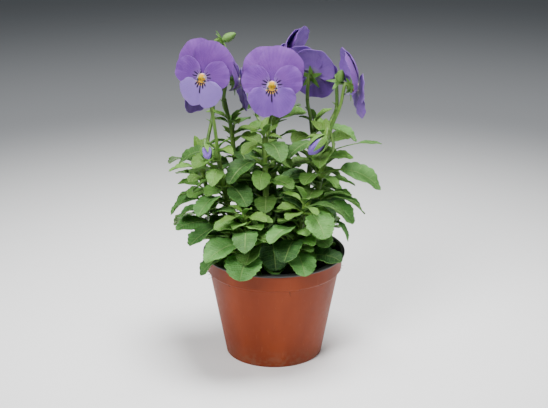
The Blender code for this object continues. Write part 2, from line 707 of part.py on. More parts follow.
def leaf_mesh(leaf):
    """Petiole and blade as one skin of six-point rings: two faces, a rib and two edges."""
    petiole_rows, blade_rows = 1, 2 * TEETH + 1
    rows = leaf_spine(leaf, petiole_rows, blade_rows)
    points = []
    for k, (m, _, side, normal) in enumerate(rows):
        if k < petiole_rows:
            half, thick, cup = PETIOLE_RADIUS, PETIOLE_RADIUS * 1.5, 0.0
            rib = PETIOLE_RADIUS * 0.4
        else:
            share = (k - petiole_rows) / (blade_rows - 1)
            half = max(float(blade_half_width(leaf, min(share, 0.975))), PETIOLE_RADIUS * 1.1)
            thick, cup = BLADE_THICK, leaf.cup
            rib = BLADE_RIB * half
        lift = normal * cup * half
        top, low = normal * thick / 2, -normal * thick / 2
        middle = m + normal * rib
        points += [
            m - side * half + lift + top,
            middle + top,
            m + side * half + lift + top,
            m + side * half + lift + low,
            middle + low,
            m - side * half + lift + low,
        ]
    faces = []
    count = len(rows)
    faces += [(0, 5, 4), (0, 4, 1), (1, 4, 3), (1, 3, 2)]
    for i in range(count - 1):
        a = i * 6
        for k in range(6):
            p, q = a + k, a + (k + 1) % 6
            if k in (0, 3):
                faces += [(p, q, q + 6), (p, q + 6, p + 6)]
            else:
                faces += [(p, q, p + 6), (q, q + 6, p + 6)]
    e = (count - 1) * 6
    faces += [(e, e + 4, e + 5), (e, e + 1, e + 4), (e + 1, e + 3, e + 4), (e + 1, e + 2, e + 3)]
    return points, faces


def strip(rows, thick):
    """A narrow blade of four-point rings: rows of middle, side vector and normal."""
    points = []
    for m, side, normal in rows:
        for s, n in ((-1, 1), (1, 1), (1, -1), (-1, -1)):
            points.append(m + side * s + normal * n * thick / 2)
    return points, ring_faces(len(rows), 4)


def stipule_mesh(leaf, side_sign):
    """One of the pair of cut leafy lobes where a leaf leaves the stem."""
    out = towards(leaf.azimuth + side_sign * STIPULE_TURN, STIPULE_RISE)
    across = unit(np.cross(out, np.array([0, 0, 1.0])))
    normal = np.cross(across, out)
    rows = []
    for share, half in STIPULE_SHAPE:
        middle = leaf.root + out * (0.0006 + STIPULE_LENGTH * share)
        bend = normal * STIPULE_DROOP * STIPULE_LENGTH * share**2
        rows.append((middle + bend, across * half * STIPULE_LENGTH, normal))
    return strip(rows, STIPULE_THICK)


def sepal_star(centre, frame, size):
    """The five spread sepals behind a flower or a pod, as one sheet in the shape of a star."""
    points = [in_frame(centre, frame, (0, 0, SEPAL_DEPTH * size))]
    for angle in SEPAL_ANGLES:
        for offset, reach in STAR_POINTS:
            a = math.radians(angle + offset)
            spoke = np.array([math.sin(a), math.cos(a), 0]) * SEPAL_REACH * reach
            points.append(in_frame(centre, frame, (spoke + (0, 0, SEPAL_DEPTH)) * size))
    count = len(points) - 1
    faces = [(0, k + 1, (k + 1) % count + 1) for k in range(count)]
    return points, faces, SEPAL_THICK * size


def shut_sepals(centre, frame, size):
    """Five sepals bowed round the base of a bud."""
    right, up, out = frame
    pieces = []
    for angle in SEPAL_ANGLES:
        a = math.radians(angle)
        spoke = right * math.sin(a) + up * math.cos(a)
        across = right * math.cos(a) - up * math.sin(a)
        rows = []
        for k, (reach, depth, share) in enumerate(SHUT_SEPAL):
            middle = np.array(centre) + (spoke * reach + out * depth) * size
            ahead = np.array(SHUT_SEPAL[min(k + 1, len(SHUT_SEPAL) - 1)][:2])
            before = np.array(SHUT_SEPAL[max(k - 1, 0)][:2])
            run = unit(ahead - before)
            normal = out * run[0] - spoke * run[1]
            rows.append((middle, across * SEPAL_WIDTH / 2 * share * size, normal))
        pieces.append(strip(rows, SEPAL_THICK))
    return pieces


def bud_body(bud):
    """The furled petals: an ovoid with a slight twist, seen past the sepals."""
    right, up, out = face_frame(bud.heading, bud.lift)
    points = []
    back = POD_BACK if bud.green else 0.0
    for k, (radius, depth) in enumerate(BUD_PROFILE):
        for j in range(BUD_SIDES):
            a = 2 * math.pi * j / BUD_SIDES + BUD_TWIST * k
            r = radius * bud.size
            spoke = right * math.sin(a) + up * math.cos(a)
            points.append(np.array(bud.centre) + spoke * r + out * (depth - back) * bud.size)
    return points, ring_faces(len(BUD_PROFILE), BUD_SIDES)


def make_shoot(index, leaves):
    """Stem, leaves, stipules, flower stalks and sepals of one shoot, grown together."""
    shoot = SHOOTS[index]
    path = stem_path(shoot, STEM_ROWS)
    girth = shoot.girth * np.linspace(1, STEM_TOP_SHARE, len(path))
    pieces = [tube(path, girth, STEM_SIDES)]
    own = [leaf for leaf in leaves if leaf.shoot == index]
    pieces += [leaf_mesh(leaf) for leaf in own]
    pieces += [stipule_mesh(own[-1], side) for side in (-1, 1)]
    for head in BLOOMS + BUDS:
        if head.shoot != index:
            continue
        frame = head_frame(head)
        stalk = stalk_path(head, STALK_ROWS)
        top = in_frame(head.centre, frame, (0, 0, SEPAL_DEPTH * head.size))
        girths = [PEDUNCLE_RADIUS] * STALK_ROWS + [RECEPTACLE_RADIUS * head.size]
        pieces.append(tube([*stalk, top], girths, STALK_SIDES))
        if head in BLOOMS or head.green:
            pieces.append(sepal_star(head.centre, frame, head.size))
        else:
            pieces += shut_sepals(head.centre, frame, head.size)
        if head in BUDS and head.green:
            pieces.append(bud_body(head))
    fuse(shoot.name, pieces, STEM_GREEN, 0.5)


# Flowers


def petal_mesh(bloom, petal, frame):
    rows = []
    for rho, columns in PETAL_ROWS:
        thetas = np.linspace(-0.95, 0.95, columns) * petal.spread
        local = [petal_point(bloom, petal, rho, theta) for theta in thetas]
        rows.append(place(local, bloom.centre, frame))
    return (*sheet(rows), PETAL_THICK)


def make_corolla(bloom):
    """Five petals round a hub with an open throat, and the spur behind it."""
    frame = head_frame(bloom)
    s = bloom.size
    ring = [
        (THROAT_RADIUS, HUB_BACK),
        (HUB_RADIUS * 0.8, HUB_BACK),
        (HUB_RADIUS, HUB_FRONT),
        (THROAT_RADIUS, HUB_FRONT),
    ]
    points, faces = turned([(r * s, z * s) for r, z in ring], HUB_SIDES)
    pieces = [(place(points, bloom.centre, frame), faces)]
    pieces += [petal_mesh(bloom, petal, frame) for petal in PETALS]
    line = place(np.array(SPUR_LINE) * s, bloom.centre, frame)
    pieces.append(tube(line, np.array(SPUR_RADII) * s, 4))
    fuse(bloom.name.replace("bloom", "corolla"), pieces, VIOLET, 0.7)


def make_eye(bloom):
    """Style and stamens standing in the throat, with the knob that shows at the front."""
    points, faces = [], ring_faces(len(EYE_PROFILE), HUB_SIDES)
    for r, z in np.array(EYE_PROFILE) * bloom.size:
        for a in np.arange(HUB_SIDES) * 2 * math.pi / HUB_SIDES:
            points.append((r * math.cos(a), r * math.sin(a), z))
    name = bloom.name.replace("bloom", "eye")
    finish(add(name, place(points, bloom.centre, head_frame(bloom)), faces), YELLOW, 0.6)


def make_bud(bud):
    finish(add(bud.name, *bud_body(bud)), VIOLET, 0.6)


def main():
    for old in list(bpy.data.objects):
        bpy.data.objects.remove(old)
    make_pot()
    make_soil()
    leaves = plan_leaves()
    for index in range(len(SHOOTS)):
        make_shoot(index, leaves)
    for bloom in BLOOMS:
        make_corolla(bloom)
        make_eye(bloom)
    for bud in BUDS:
        if not bud.green:
            make_bud(bud)


main()
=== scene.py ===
"""The looks of a potted horned violet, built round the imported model's frame.

Metres, +Z up, the best flowers towards -Y. Azimuths are in degrees from -Y round to +X.
"""

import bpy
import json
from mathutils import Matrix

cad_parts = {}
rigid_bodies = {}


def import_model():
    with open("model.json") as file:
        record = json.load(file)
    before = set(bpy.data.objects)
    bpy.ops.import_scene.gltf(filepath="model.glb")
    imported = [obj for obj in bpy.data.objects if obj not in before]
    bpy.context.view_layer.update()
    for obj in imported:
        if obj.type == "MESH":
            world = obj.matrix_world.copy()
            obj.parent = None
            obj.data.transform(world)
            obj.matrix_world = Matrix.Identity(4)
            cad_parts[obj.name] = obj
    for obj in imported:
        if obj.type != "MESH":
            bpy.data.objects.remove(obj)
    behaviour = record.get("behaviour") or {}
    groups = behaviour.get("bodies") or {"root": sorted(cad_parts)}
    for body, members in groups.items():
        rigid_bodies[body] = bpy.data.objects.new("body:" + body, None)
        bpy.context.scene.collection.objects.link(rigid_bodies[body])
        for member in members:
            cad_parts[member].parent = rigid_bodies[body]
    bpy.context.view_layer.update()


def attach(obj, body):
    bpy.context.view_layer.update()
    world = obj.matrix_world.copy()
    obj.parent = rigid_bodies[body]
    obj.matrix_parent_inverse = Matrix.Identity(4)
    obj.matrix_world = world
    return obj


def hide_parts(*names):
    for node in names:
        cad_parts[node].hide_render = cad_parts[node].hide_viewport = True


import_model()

import json
import math
from collections import namedtuple

import bmesh
import bpy
import numpy as np
from mathutils import Vector

# Pot, as in the part's source
POT_HEIGHT = 0.070
POT_RIM_RADIUS = 0.046
POT_BASE_RADIUS = 0.031
POT_WALL = 0.0012
COLLAR_HEIGHT = 0.0115
COLLAR_STEP = 0.0016
COLLAR_INSET = 0.0022
LIP_OUT = 0.0017
LIP_THICK = 0.0020
FOOT_WIDTH = 0.006
BASE_DISC_RADIUS = 0.012
BASE_CHANNEL = 0.0022
DRAIN_HOLES = 6
DRAIN_RADIUS = 0.0028
DRILL_DEPTH = 0.008
POT_SEGMENTS = 128
CORNER_ROUNDING = 0.0007

# Soil
SOIL_TOP = 0.0605
SOIL_BUMP = 0.0011
SOIL_EDGE = 0.0422
SOIL_RINGS = 26
SOIL_SEGMENTS = 96

# Shoots
SOCKET_DEPTH = 0.012
STEM_TOP_SHARE = 0.55
PEDUNCLE_RADIUS = 0.00105
RECEPTACLE_RADIUS = 0.0020
RECEPTACLE_BACK = -0.0042
STALK_HANG = 0.0125
STALK_BEHIND = 0.0062
CROOK_RISE = 0.0022
CROOK_BEHIND = 0.0034
PETIOLE_RADIUS = 0.00085
BLADE_STEPS = 24
# Width over length of a slender and of a round leaf, how blunt the outline of each is, and how far its widest
# place lies from its base
LEAF_RATIOS = (0.50, 0.85)
LEAF_BLUNTNESS = (0.78, 0.48)
LEAF_SWELLS = (0.86, 0.97)
# Slopes from stem to tip of a shoot's lowest and highest leaf
LOW_RISES = (36, 20, -24, -60)
HIGH_RISES = (50, 28, -12, -46)
# Where a leaf may go instead: swung round its stem, tipped, or moved along it; and the room it needs
TURNS = (0, 15, -15, 30, -30, 46, -46, 64, -64, 84, -84, 106, -106)
TIPS = (0, 14, -12, 26, -24)
SHIFTS = (0, 0.05, -0.05)
BLADE_ROOM = 0.0033
STALK_ROOM = 0.0032
INSIDE_LIP = 0.0045
OUTSIDE_LIP = 0.0042
ABOVE_LIP = 0.0016
ABOVE_SOIL = 0.0026
SHOWN_CUP = 0.10
WINDOW_TURNS = (52, 64, 76, 88, 100)
WINDOW_REACH = 0.041
WINDOW_HEIGHTS = (0.071, 0.079, 0.087)
# Where a stem bends, between its foot and its tip
STEM_KNEE = (0.62, 0.62, 0.45)
# Turn from each leaf to the next up a stem, in degrees
GOLDEN_ANGLE = 137.5
# Share of a stem where its lowest leaf grows, and how much further up its highest one does
LEAF_START, LEAF_SPAN = 0.17, 0.76
MEDIUM_START, MEDIUM_SPAN = 0.13, 0.80
TIP_SHARE = 0.985
# Small leaves that each shoot may bear, where one may go instead, and the room it needs
MEDIUM_LEAVES = 24
TIP_LEAVES = 7
SMALL_SHRINKS = (1.0, 0.82, 0.66)
SMALL_SHIFTS = (0, 0.03)
SMALL_TURNS = TURNS[:9]
SMALL_BLADE_ROOM = 0.0011
SMALL_STALK_ROOM = 0.0007
SKIN_ROOM = 0.0018
ROD_ROOM = 0.0025
# Owner of points that no shoot bears
NO_SHOOT = -1
# Points along stems and flower stalks: to place large leaves by, to place small ones by, and as built
STEM_MARKS, STEM_RODS, STEM_STEPS = 60, 120, 70
STALK_MARKS, STALK_RODS, STALK_STEPS = 30, 60, 26
PETIOLE_STEPS = 8
# Blades: teeth down each edge, rows to a tooth and points across
LARGE_STEPS = (7, 5, 13)
MEDIUM_STEPS = (5, 4, 9)
TIP_STEPS = (3, 4, 7)
LEAF_THICK = 0.00055
TOOTH_DEPTH = 0.10
VEIN_LEAD = 0.62
# Reach from the pot's middle where leaves are at their lightest; nearer the middle they get painted shade, a
# lower tone
SHADE_FREE_REACH = 0.052
# Tones of the petioles of large, medium and tip leaves
PETIOLE_TONES = (0.25, 0.15, 0.05)

Shoot = namedtuple("Shoot", "name foot tip girth leaves first_turn")
SHOOTS = [
    Shoot("shoot_1", (-0.003, -0.010), (-0.006, -0.007, 0.148), 0.0027, 7, -30),
    Shoot("shoot_2", (0.014, -0.004), (0.033, -0.003, 0.146), 0.0025, 5, 150),
    Shoot("shoot_3", (-0.014, -0.007), (-0.036, -0.010, 0.140), 0.0024, 6, -70),
    Shoot("shoot_4", (-0.011, 0.007), (-0.028, 0.022, 0.148), 0.0023, 6, 190),
    Shoot("shoot_5", (0.000, 0.016), (0.000, 0.036, 0.150), 0.0024, 6, 160),
    Shoot("shoot_6", (0.013, 0.009), (0.026, 0.028, 0.146), 0.0023, 6, 110),
    Shoot("shoot_7", (-0.021, 0.002), (-0.048, 0.018, 0.122), 0.0021, 6, 250),
    Shoot("shoot_8", (0.009, -0.018), (0.019, -0.027, 0.110), 0.0021, 4, 60),
    Shoot("shoot_9", (-0.010, -0.020), (-0.019, -0.030, 0.104), 0.0020, 5, 30),
]

# The large leaves that face the front, each at a share of its shoot; rises are its slopes from stem to tip
ShownLeaf = namedtuple("ShownLeaf", "shoot share azimuth rises petiole length width roll")
SHOWN_LEAVES = [
    ShownLeaf(1, 0.76, 93, (25, 5, -22, -58), 0.013, 0.031, 0.0205, -18),
    ShownLeaf(1, 0.90, 92, (24, 12, 0, -15), 0.023, 0.015, 0.0070, 0),
    ShownLeaf(1, 0.33, 66, (46, 20, -58, -84), 0.026, 0.016, 0.0065, 0),
    ShownLeaf(7, 0.88, 36, (40, 10, -40, -66), 0.010, 0.020, 0.0200, -8),
    ShownLeaf(8, 0.46, -14, (52, 6, -24, -46), 0.014, 0.023, 0.0240, 4),
    ShownLeaf(8, 0.40, -56, (50, 4, -34, -58), 0.020, 0.024, 0.0225, -8),
    ShownLeaf(7, 0.42, 14, (46, 8, -26, -46), 0.013, 0.020, 0.0185, 6),
    ShownLeaf(7, 0.60, -20, (40, 12, -24, -46), 0.010, 0.021, 0.0190, -10),
    ShownLeaf(0, 0.32, 10, (44, 6, -34, -56), 0.016, 0.021, 0.0205, 4),
    ShownLeaf(1, 0.62, -20, (20, -8, -50, -68), 0.010, 0.0195, 0.0185, 6),
    ShownLeaf(1, 0.56, 44, (20, 0, -42, -62), 0.011, 0.020, 0.0175, -6),
    ShownLeaf(1, 0.70, -78, (50, 30, -10, -48), 0.010, 0.021, 0.0135, 14),
    ShownLeaf(2, 0.74, 38, (34, 8, -28, -54), 0.009, 0.019, 0.0165, -8),
]

# Flowers: heading and lift give where the face looks, start is the share of the shoot where the stalk leaves,
# and reflex how far the upper petals bend back and the lower one forward at their rims
Bloom = namedtuple("Bloom", "name shoot start centre heading lift twist size reflex")
BLOOMS = [
    Bloom("bloom_1", 0, 0.90, (-0.001, -0.015, 0.1845), -8, 14, 2, 1.00, 0.02),
    Bloom("bloom_2", 2, 0.92, (-0.0440, -0.014, 0.1895), -20, 6, -5, 0.95, 0.02),
    Bloom("bloom_3", 5, 0.90, (0.0245, 0.026, 0.1795), 160, 12, 0, 0.92, 0.12),
    Bloom("bloom_4", 1, 0.86, (0.051, 0.000, 0.1790), 104, -4, 6, 0.98, 0.25),
    Bloom("bloom_5", 3, 0.90, (-0.023, 0.018, 0.1770), 104, 4, 0, 0.94, 0.16),
    Bloom("bloom_6", 4, 0.92, (0.008, 0.050, 0.1850), 248, 10, 0, 0.88, 0.10),
    Bloom("bloom_7", 6, 0.90, (-0.047, 0.040, 0.1670), 232, 8, 0, 0.92, 0.10),
]
PALE_LOWER_PETAL = (0.10, 0.60, 0.4, 0.3, 0.4, 0.3, 0.5)
Bud = namedtuple("Bud", "name shoot start centre heading lift size green")
BUDS = [
    Bud("bud_1", 1, 0.72, (0.030, -0.018, 0.1500), -60, -38, 1.25, False),
    Bud("bud_2", 2, 0.74, (-0.042, -0.030, 0.1480), 10, -20, 0.95, False),
    Bud("bud_3", 4, 0.78, (-0.014, 0.055, 0.1530), 200, -30, 0.95, False),
    Bud("pod_1", 3, 0.96, (-0.031, 0.037, 0.2005), 110, 24, 0.85, True),
    Bud("pod_2", 1, 0.95, (0.0415, 0.009, 0.1820), 20, 60, 0.85, True),
]

# Petals: axis angle from straight up, length, half-angle of the fan, bluntness of its outline, distance in
# front of the throat, tilt forwards, curl back, notch at the tip, and waviness
Petal = namedtuple("Petal", "name angle length spread blunt layer tilt curl notch ruffle")
PETALS = [
    Petal("upper_left", -25, 0.0252, 70, 0.34, -0.0004, -0.05, -0.08, 0.00, 0.020),
    Petal("upper_right", 25, 0.0252, 70, 0.34, 0.0004, 0.02, -0.08, 0.00, 0.020),
    Petal("side_left", -72, 0.0198, 56, 0.40, 0.0012, 0.13, -0.13, 0.00, 0.016),
    Petal("side_right", 72, 0.0198, 56, 0.40, 0.0012, 0.13, -0.13, 0.00, 0.016),
    Petal("lower", 180, 0.0205, 84, 0.22, 0.0020, 0.24, -0.24, 0.10, 0.018),
]
UPPER, SIDE, LOWER = 0.0, 1.0, 2.0
PETAL_KIND = {
    "upper_left": UPPER, "upper_right": UPPER, "side_left": SIDE, "side_right": SIDE, "lower": LOWER,
}
PETAL_FLEX = {UPPER: (-0.09, -0.02), SIDE: (-0.06, 0.02), LOWER: (-0.08, 0.0)}
PETAL_ROWS = 20
PETAL_COLUMNS = 33
PETAL_REACH = 0.98
PETAL_THICK = 0.00055
PETAL_RIM_THICK = 0.00026
CLAW_RADIUS = 0.0020
CLAW_SHARE = 0.28
HUB_PROFILE = (
    (0.0014, -0.0016), (0.0023, -0.0016), (0.0029, -0.0006), (0.0029, 0.0008),
    (0.0025, 0.0018), (0.0020, 0.0024), (0.0016, 0.0025), (0.0013, 0.0020),
)
STYLE_PROFILE = (
    (0.0, -0.0011), (0.0007, -0.0010), (0.0007, 0.0016), (0.0011, 0.0022), (0.0016, 0.0028), (0.0018, 0.0035),
    (0.0016, 0.0042), (0.0011, 0.0047), (0.0005, 0.0050), (0.0, 0.0051),
)
STYLE_HOLLOW = (0.0, -0.0008, 0.0049)
STYLE_HOLLOW_RADIUS = 0.0008
SPUR_LINE = (
    (0, 0.0, 0.0), (0, -0.0024, 0.0002), (0, -0.0041, -0.0018),
    (0, -0.0050, -0.0062), (0, -0.0050, -0.0068),
)
SPUR_GIRTHS = (0.0010, 0.0012, 0.0012, 0.0009, 0.0003)
SEPAL_REACH = 0.0096
SEPAL_DEPTH = -0.0026
SEPAL_WIDTH = 0.0025
SEPAL_THICK = 0.0005
SEPAL_ANGLES = (0, 68, 138, 222, 292)
# Reach and depth of points on spread sepals, and of a bud's shut ones at their widest, to judge clearance by
SEPAL_MARKS = ((0.005, -0.0033), (0.009, -0.0030))
SHUT_SEPAL_MARK = (0.0045, 0.0014)
BUD_MARKS = (-0.004, 0, 0.004, 0.008)
POD_BACK = 0.0012
BUD_PROFILE = ((0.0010, -0.0018), (0.0028, 0.0006), (0.0034, 0.0035), (0.0026, 0.0070), (0.0010, 0.0095))
BUD_SIDES = 24
BUD_ROWS = 16
SPUR_STEPS = 12
ROUND_SIDES = 28
BEARD_HAIRS = 28
# Bracts: the point of the stalk's path where each grows, and its turn from the flower's heading
BRACTS = ((33, 40), (35, 215))
# Degrees between the dark guide lines on the lower petal and on the side ones
LOWER_LINE_STEP = 18.0
SIDE_LINE_STEP = 23.0

LEAF_SEED = 11
SMALL_SEED = 23
MILLIMETRE = 0.001
UP = np.array([0, 0, 1.0])

# What the faces and backs of leaves, and those of petals, have alike
LEAF_GLOW = {
    "subsurface_weight": 0.18, "subsurface_scale": 0.0012, "subsurface_radius": (0.6, 1.0, 0.3),
    "specular_ior_level": 0.32,
}
PETAL_GLOW = {
    "subsurface_weight": 0.20, "subsurface_scale": 0.0012, "subsurface_radius": (0.8, 0.5, 1.0),
    "sheen_roughness": 0.5, "sheen_tint": (0.70, 0.60, 1.0, 1), "specular_ior_level": 0.25,
}

# Stage, light and camera
FLOOR_PROFILE = (
    (0.0, 0.0), (0.25, 0.0), (0.6, 0.0), (1.1, 0.0), (1.6, 0.03), (2.1, 0.16), (2.5, 0.42), (2.75, 0.85),
    (2.85, 1.5), (2.9, 2.4),
)
FLOOR_SIDES = 96
# Name, place, size and power of each light
SOFTBOXES = (
    ("key_softbox", (-0.8, -1.25, 1.45), 0.8, 46),
    ("fill_softbox", (1.5, -1.1, 0.8), 1.2, 8),
    ("top_softbox", (0.2, 0.1, 1.9), 0.8, 66),
)
LIGHT_AIM = (0, 0, 0.12)
AIR_COLOUR = (0.55, 0.57, 0.60, 1)
AIR_STRENGTH = 0.22
CAMERA_AIM = (0.0, 0.0, 0.101)
CAMERA_DISTANCE = 1.15
CAMERA_ELEVATION = 20.0
SENSOR_HEIGHT = 24.0
FRAME_HEIGHT = 0.262


# Directions and curves


def towards(azimuth, elevation):
    """The unit vector at those angles in degrees, or one for each pair of them."""
    a, e = np.radians(azimuth), np.radians(elevation)
    return np.stack([np.sin(a) * np.cos(e), -np.cos(a) * np.cos(e), np.sin(e)], axis=-1)


def unit(v):
    return v / np.linalg.norm(v)


def units(v):
    return v / np.linalg.norm(v, axis=-1, keepdims=True)


def smooth_path(knots, count):
    """count points, evenly spaced, on a Catmull-Rom curve through the knots."""
    knots = np.array(knots, float)
    ends = np.vstack([2 * knots[0] - knots[1], knots, 2 * knots[-1] - knots[-2]])
    t = np.linspace(0, 1, 16, endpoint=False)[:, None]
    dense = []
    for a, b, c, d in zip(ends, ends[1:], ends[2:], ends[3:]):
        cubic = (2 * a - 5 * b + 4 * c - d) * t**2 + (3 * b - a - 3 * c + d) * t**3
        dense.append(0.5 * (2 * b + (c - a) * t + cubic))
    dense = np.vstack(dense + [knots[-1:]])
    run = np.r_[0, np.cumsum(np.linalg.norm(np.diff(dense, axis=0), axis=1))]
    want = np.linspace(0, run[-1], count)
    return np.column_stack([np.interp(want, run, dense[:, k]) for k in range(3)])


def along(path, share):
    """The point at that share of a path of evenly spaced points."""
    at = np.linspace(0, 1, len(path))
    return np.array([np.interp(share, at, path[:, k]) for k in range(3)])


# The plan: where every stem, stalk, flower and leaf goes, as in the part's source


def stem_path(shoot, count=25):
    foot = np.array([*shoot.foot, SOIL_TOP])
    tip = np.array(shoot.tip)
    knee = foot + (tip - foot) * STEM_KNEE
    root = foot - (0, 0, SOCKET_DEPTH)
    return smooth_path([root, foot + (0, 0, 0.004), knee, tip], count)


def face_frame(heading, lift, twist):
    """Right, up and outward unit vectors of a flower, seen by someone it faces."""
    out = towards(heading, lift)
    up = unit(UP - out * out[2])
    right = np.cross(up, out)
    t = math.radians(twist)
    return right * math.cos(t) + up * math.sin(t), up * math.cos(t) - right * math.sin(t), out


def head_frame(head):
    return face_frame(head.heading, head.lift, getattr(head, "twist", 0))


def stalk_path(head, count):
    """A flower stalk: up from the stem, over a hook behind the flower and into its receptacle."""
    _, up, out = head_frame(head)
    begin = along(stem_path(SHOOTS[head.shoot]), head.start)
    end = np.array(head.centre) + out * (RECEPTACLE_BACK + 0.0006) * head.size
    crook = end + up * CROOK_RISE - out * CROOK_BEHIND
    below = end - np.array([0, 0, STALK_HANG]) - out * STALK_BEHIND
    rise = begin * 0.55 + below * 0.45 + (0, 0, 0.004)
    return smooth_path([begin, rise, below, crook, end], count)


Leaf = namedtuple("Leaf", "shoot share root azimuth rises petiole length width roll cup swing seed")


def leaf_spine(leaf, wanted):
    """Middle, tangent, side and normal of a leaf at those distances from its root."""
    total = leaf.petiole + leaf.length
    run = np.linspace(0, total, 3 * BLADE_STEPS)
    base = leaf.petiole
    rise = np.interp(run, [0, base * 0.9, base + leaf.length * 0.35, total], leaf.rises)
    turn = leaf.azimuth + leaf.swing * (run / total) ** 2
    heading = towards(turn, rise)
    middle = leaf.root + np.vstack([np.zeros(3), np.cumsum(heading[:-1] * run[1], axis=0)])
    wanted = np.asarray(wanted, float)
    place = np.stack([np.interp(wanted, run, middle[:, k]) for k in range(3)], axis=-1)
    tangent = units(np.stack([np.interp(wanted, run, heading[:, k]) for k in range(3)], axis=-1))
    side = units(np.cross(tangent, UP))
    normal = np.cross(side, tangent)
    roll = (math.radians(leaf.roll) * np.minimum(1.0, wanted / base))[..., None]
    side, normal = side * np.cos(roll) + normal * np.sin(roll), normal * np.cos(roll) - side * np.sin(roll)
    return place, tangent, side, normal


def blade_body(leaf, share):
    """Half-width of a spoon-shaped blade, without its teeth, at a share of its length."""
    share = np.clip(share, 0, 1)
    blunt = np.interp(leaf.width / leaf.length, LEAF_RATIOS, LEAF_BLUNTNESS)
    swell = np.interp(leaf.width / leaf.length, LEAF_RATIOS, LEAF_SWELLS)
    return leaf.width / 2 * np.sin(math.pi * share**swell) ** blunt


def blade_points(leaf, shares, across):
    """Points of the blade at those shares of its length, each row at those shares of its half-width."""
    place, _, side, normal = leaf_spine(leaf, leaf.petiole + leaf.length * shares)
    half = blade_body(leaf, shares)[:, None, None]
    t = np.array(across)[None, :, None]
    return place[:, None] + side[:, None] * half * t + normal[:, None] * leaf.cup * half * t * t


def leaf_points(leaf):
    """Points on the blade and petiole, close enough together to judge clearance by."""
    blade = blade_points(leaf, np.arange(9) / 8, (-1, -0.6, -0.2, 0.2, 0.6, 1))
    base = leaf_spine(leaf, [leaf.petiole])[0][0]
    petiole = [leaf.root + (base - leaf.root) * share for share in (0.35, 0.6, 0.85)]
    return np.array(petiole), blade.reshape(-1, 3)


def skin_points(leaf):
    """Points closer together, down the bent petiole too, for the small leaves that fill the gaps."""
    petiole = leaf_spine(leaf, leaf.petiole * np.linspace(0.3, 0.95, 8))[0]
    return petiole, blade_points(leaf, np.linspace(0, 1, 17), np.linspace(-1, 1, 11)).reshape(-1, 3)


def petal_radius(petal, theta):
    """Outline of a petal's fan: its radius from the throat at an angle off its axis, in degrees."""
    fan = np.cos(np.radians(theta * 88 / petal.spread)) ** petal.blunt
    dent = 1 - petal.notch * np.exp(-((theta / 9) ** 2))
    return petal.length * fan * dent


def petal_point(bloom, petal, rho, theta):
    """Points of the petal's middle surface, as right, up and outward distances from the throat."""
    narrow = CLAW_SHARE + (1 - CLAW_SHARE) * np.clip(rho * 2.2, 0, 1)
    angle = np.radians(petal.angle + theta * narrow)
    radius = CLAW_RADIUS + (petal_radius(petal, theta) - CLAW_RADIUS) * rho
    phase = math.radians(bloom.heading * 3 + petal.angle)
    wave = petal.ruffle * np.sin(np.radians(theta) * 5 + phase) * rho**3
    bend = bloom.reflex * math.cos(math.radians(petal.angle)) * (radius / petal.length) ** 4
    depth = petal.layer + petal.length * (petal.tilt * rho + petal.curl * rho**2 + wave - bend)
    return bloom.size * np.stack([radius * np.sin(angle), radius * np.cos(angle), depth], axis=-1)


def in_frame(centre, axes, local):
    """Points given as right, up and outward distances, in the row frame."""
    return np.array(centre) + np.asarray(local) @ np.array(axes)


def bloom_points(bloom):
    found = []
    rho, theta = np.meshgrid((0.3, 0.55, 0.8, 1.0), np.linspace(-0.92, 0.92, 7))
    for petal in PETALS:
        found.append(petal_point(bloom, petal, rho, theta * petal.spread).reshape(-1, 3))
    for angle in np.radians(SEPAL_ANGLES):
        for reach, back in SEPAL_MARKS:
            found.append(bloom.size * np.array([[reach * math.sin(angle), reach * math.cos(angle), back]]))
    return in_frame(bloom.centre, head_frame(bloom), np.vstack(found))


def bud_points(bud):
    """Points down the middle of a bud and at its sepals' widest."""
    marks = [(0, 0, depth) for depth in BUD_MARKS]
    reach, depth = SHUT_SEPAL_MARK
    for angle in np.radians(SEPAL_ANGLES):
        marks.append((reach * math.sin(angle), reach * math.cos(angle), depth))
    return in_frame(bud.centre, head_frame(bud), np.array(marks) * bud.size)


def nearest(points, others):
    """Least distance from any of the points to any of the others, endless where there are none."""
    if not len(others):
        return math.inf
    square = (points**2).sum(1)[:, None] + (others**2).sum(1)[None] - 2 * points @ others.T
    return math.sqrt(max(0.0, square.min()))


def clear_of_pot(points):
    """Whether the points stay off the rim and above the soil."""
    reach = np.hypot(points[:, 0], points[:, 1])
    low = points[:, 2] < POT_HEIGHT + ABOVE_LIP
    inside = reach < POT_RIM_RADIUS - INSIDE_LIP
    outside = reach > POT_RIM_RADIUS + OUTSIDE_LIP
    above_soil = points[:, 2] > SOIL_TOP + ABOVE_SOIL
    return bool(np.all(~low | outside | (inside & above_soil)))


def rim_window():
    """Points over the right of the rim, where no leaf grows and the pot's black inside shows."""
    turns = np.radians(WINDOW_TURNS)
    ring = np.column_stack([np.sin(turns), -np.cos(turns)]) * WINDOW_REACH
    return np.array([(x, y, z) for x, y in ring for z in WINDOW_HEIGHTS])


def leaf_at(index, shoot, order, rng):
    """The leaf that wants to grow at that order up the shoot, low ones round and long-stalked."""
    high = order / max(1, shoot.leaves - 1)
    share = LEAF_START + LEAF_SPAN * high
    azimuth = shoot.first_turn + GOLDEN_ANGLE * order + rng.uniform(-12, 12)
    droop = rng.uniform(-16, 14)
    sags = zip(LOW_RISES, HIGH_RISES, (0, 0.5, 1, 1))
    rises = tuple(low + (top - low) * high + droop * sag for low, top, sag in sags)
    length = (0.0285 - 0.0050 * high) * rng.uniform(0.88, 1.12)
    width = length * (0.86 - 0.22 * high) * rng.uniform(0.94, 1.08)
    petiole = (0.0175 - 0.0085 * high) * rng.uniform(0.85, 1.15)
    root = along(stem_path(shoot), share)
    roll, cup, swing = rng.uniform(-16, 16), rng.uniform(0.02, 0.20), rng.uniform(-16, 16)
    seed = int(rng.integers(1, 10**6))
    return Leaf(index, share, root, azimuth, rises, petiole, length, width, roll, cup, swing, seed)


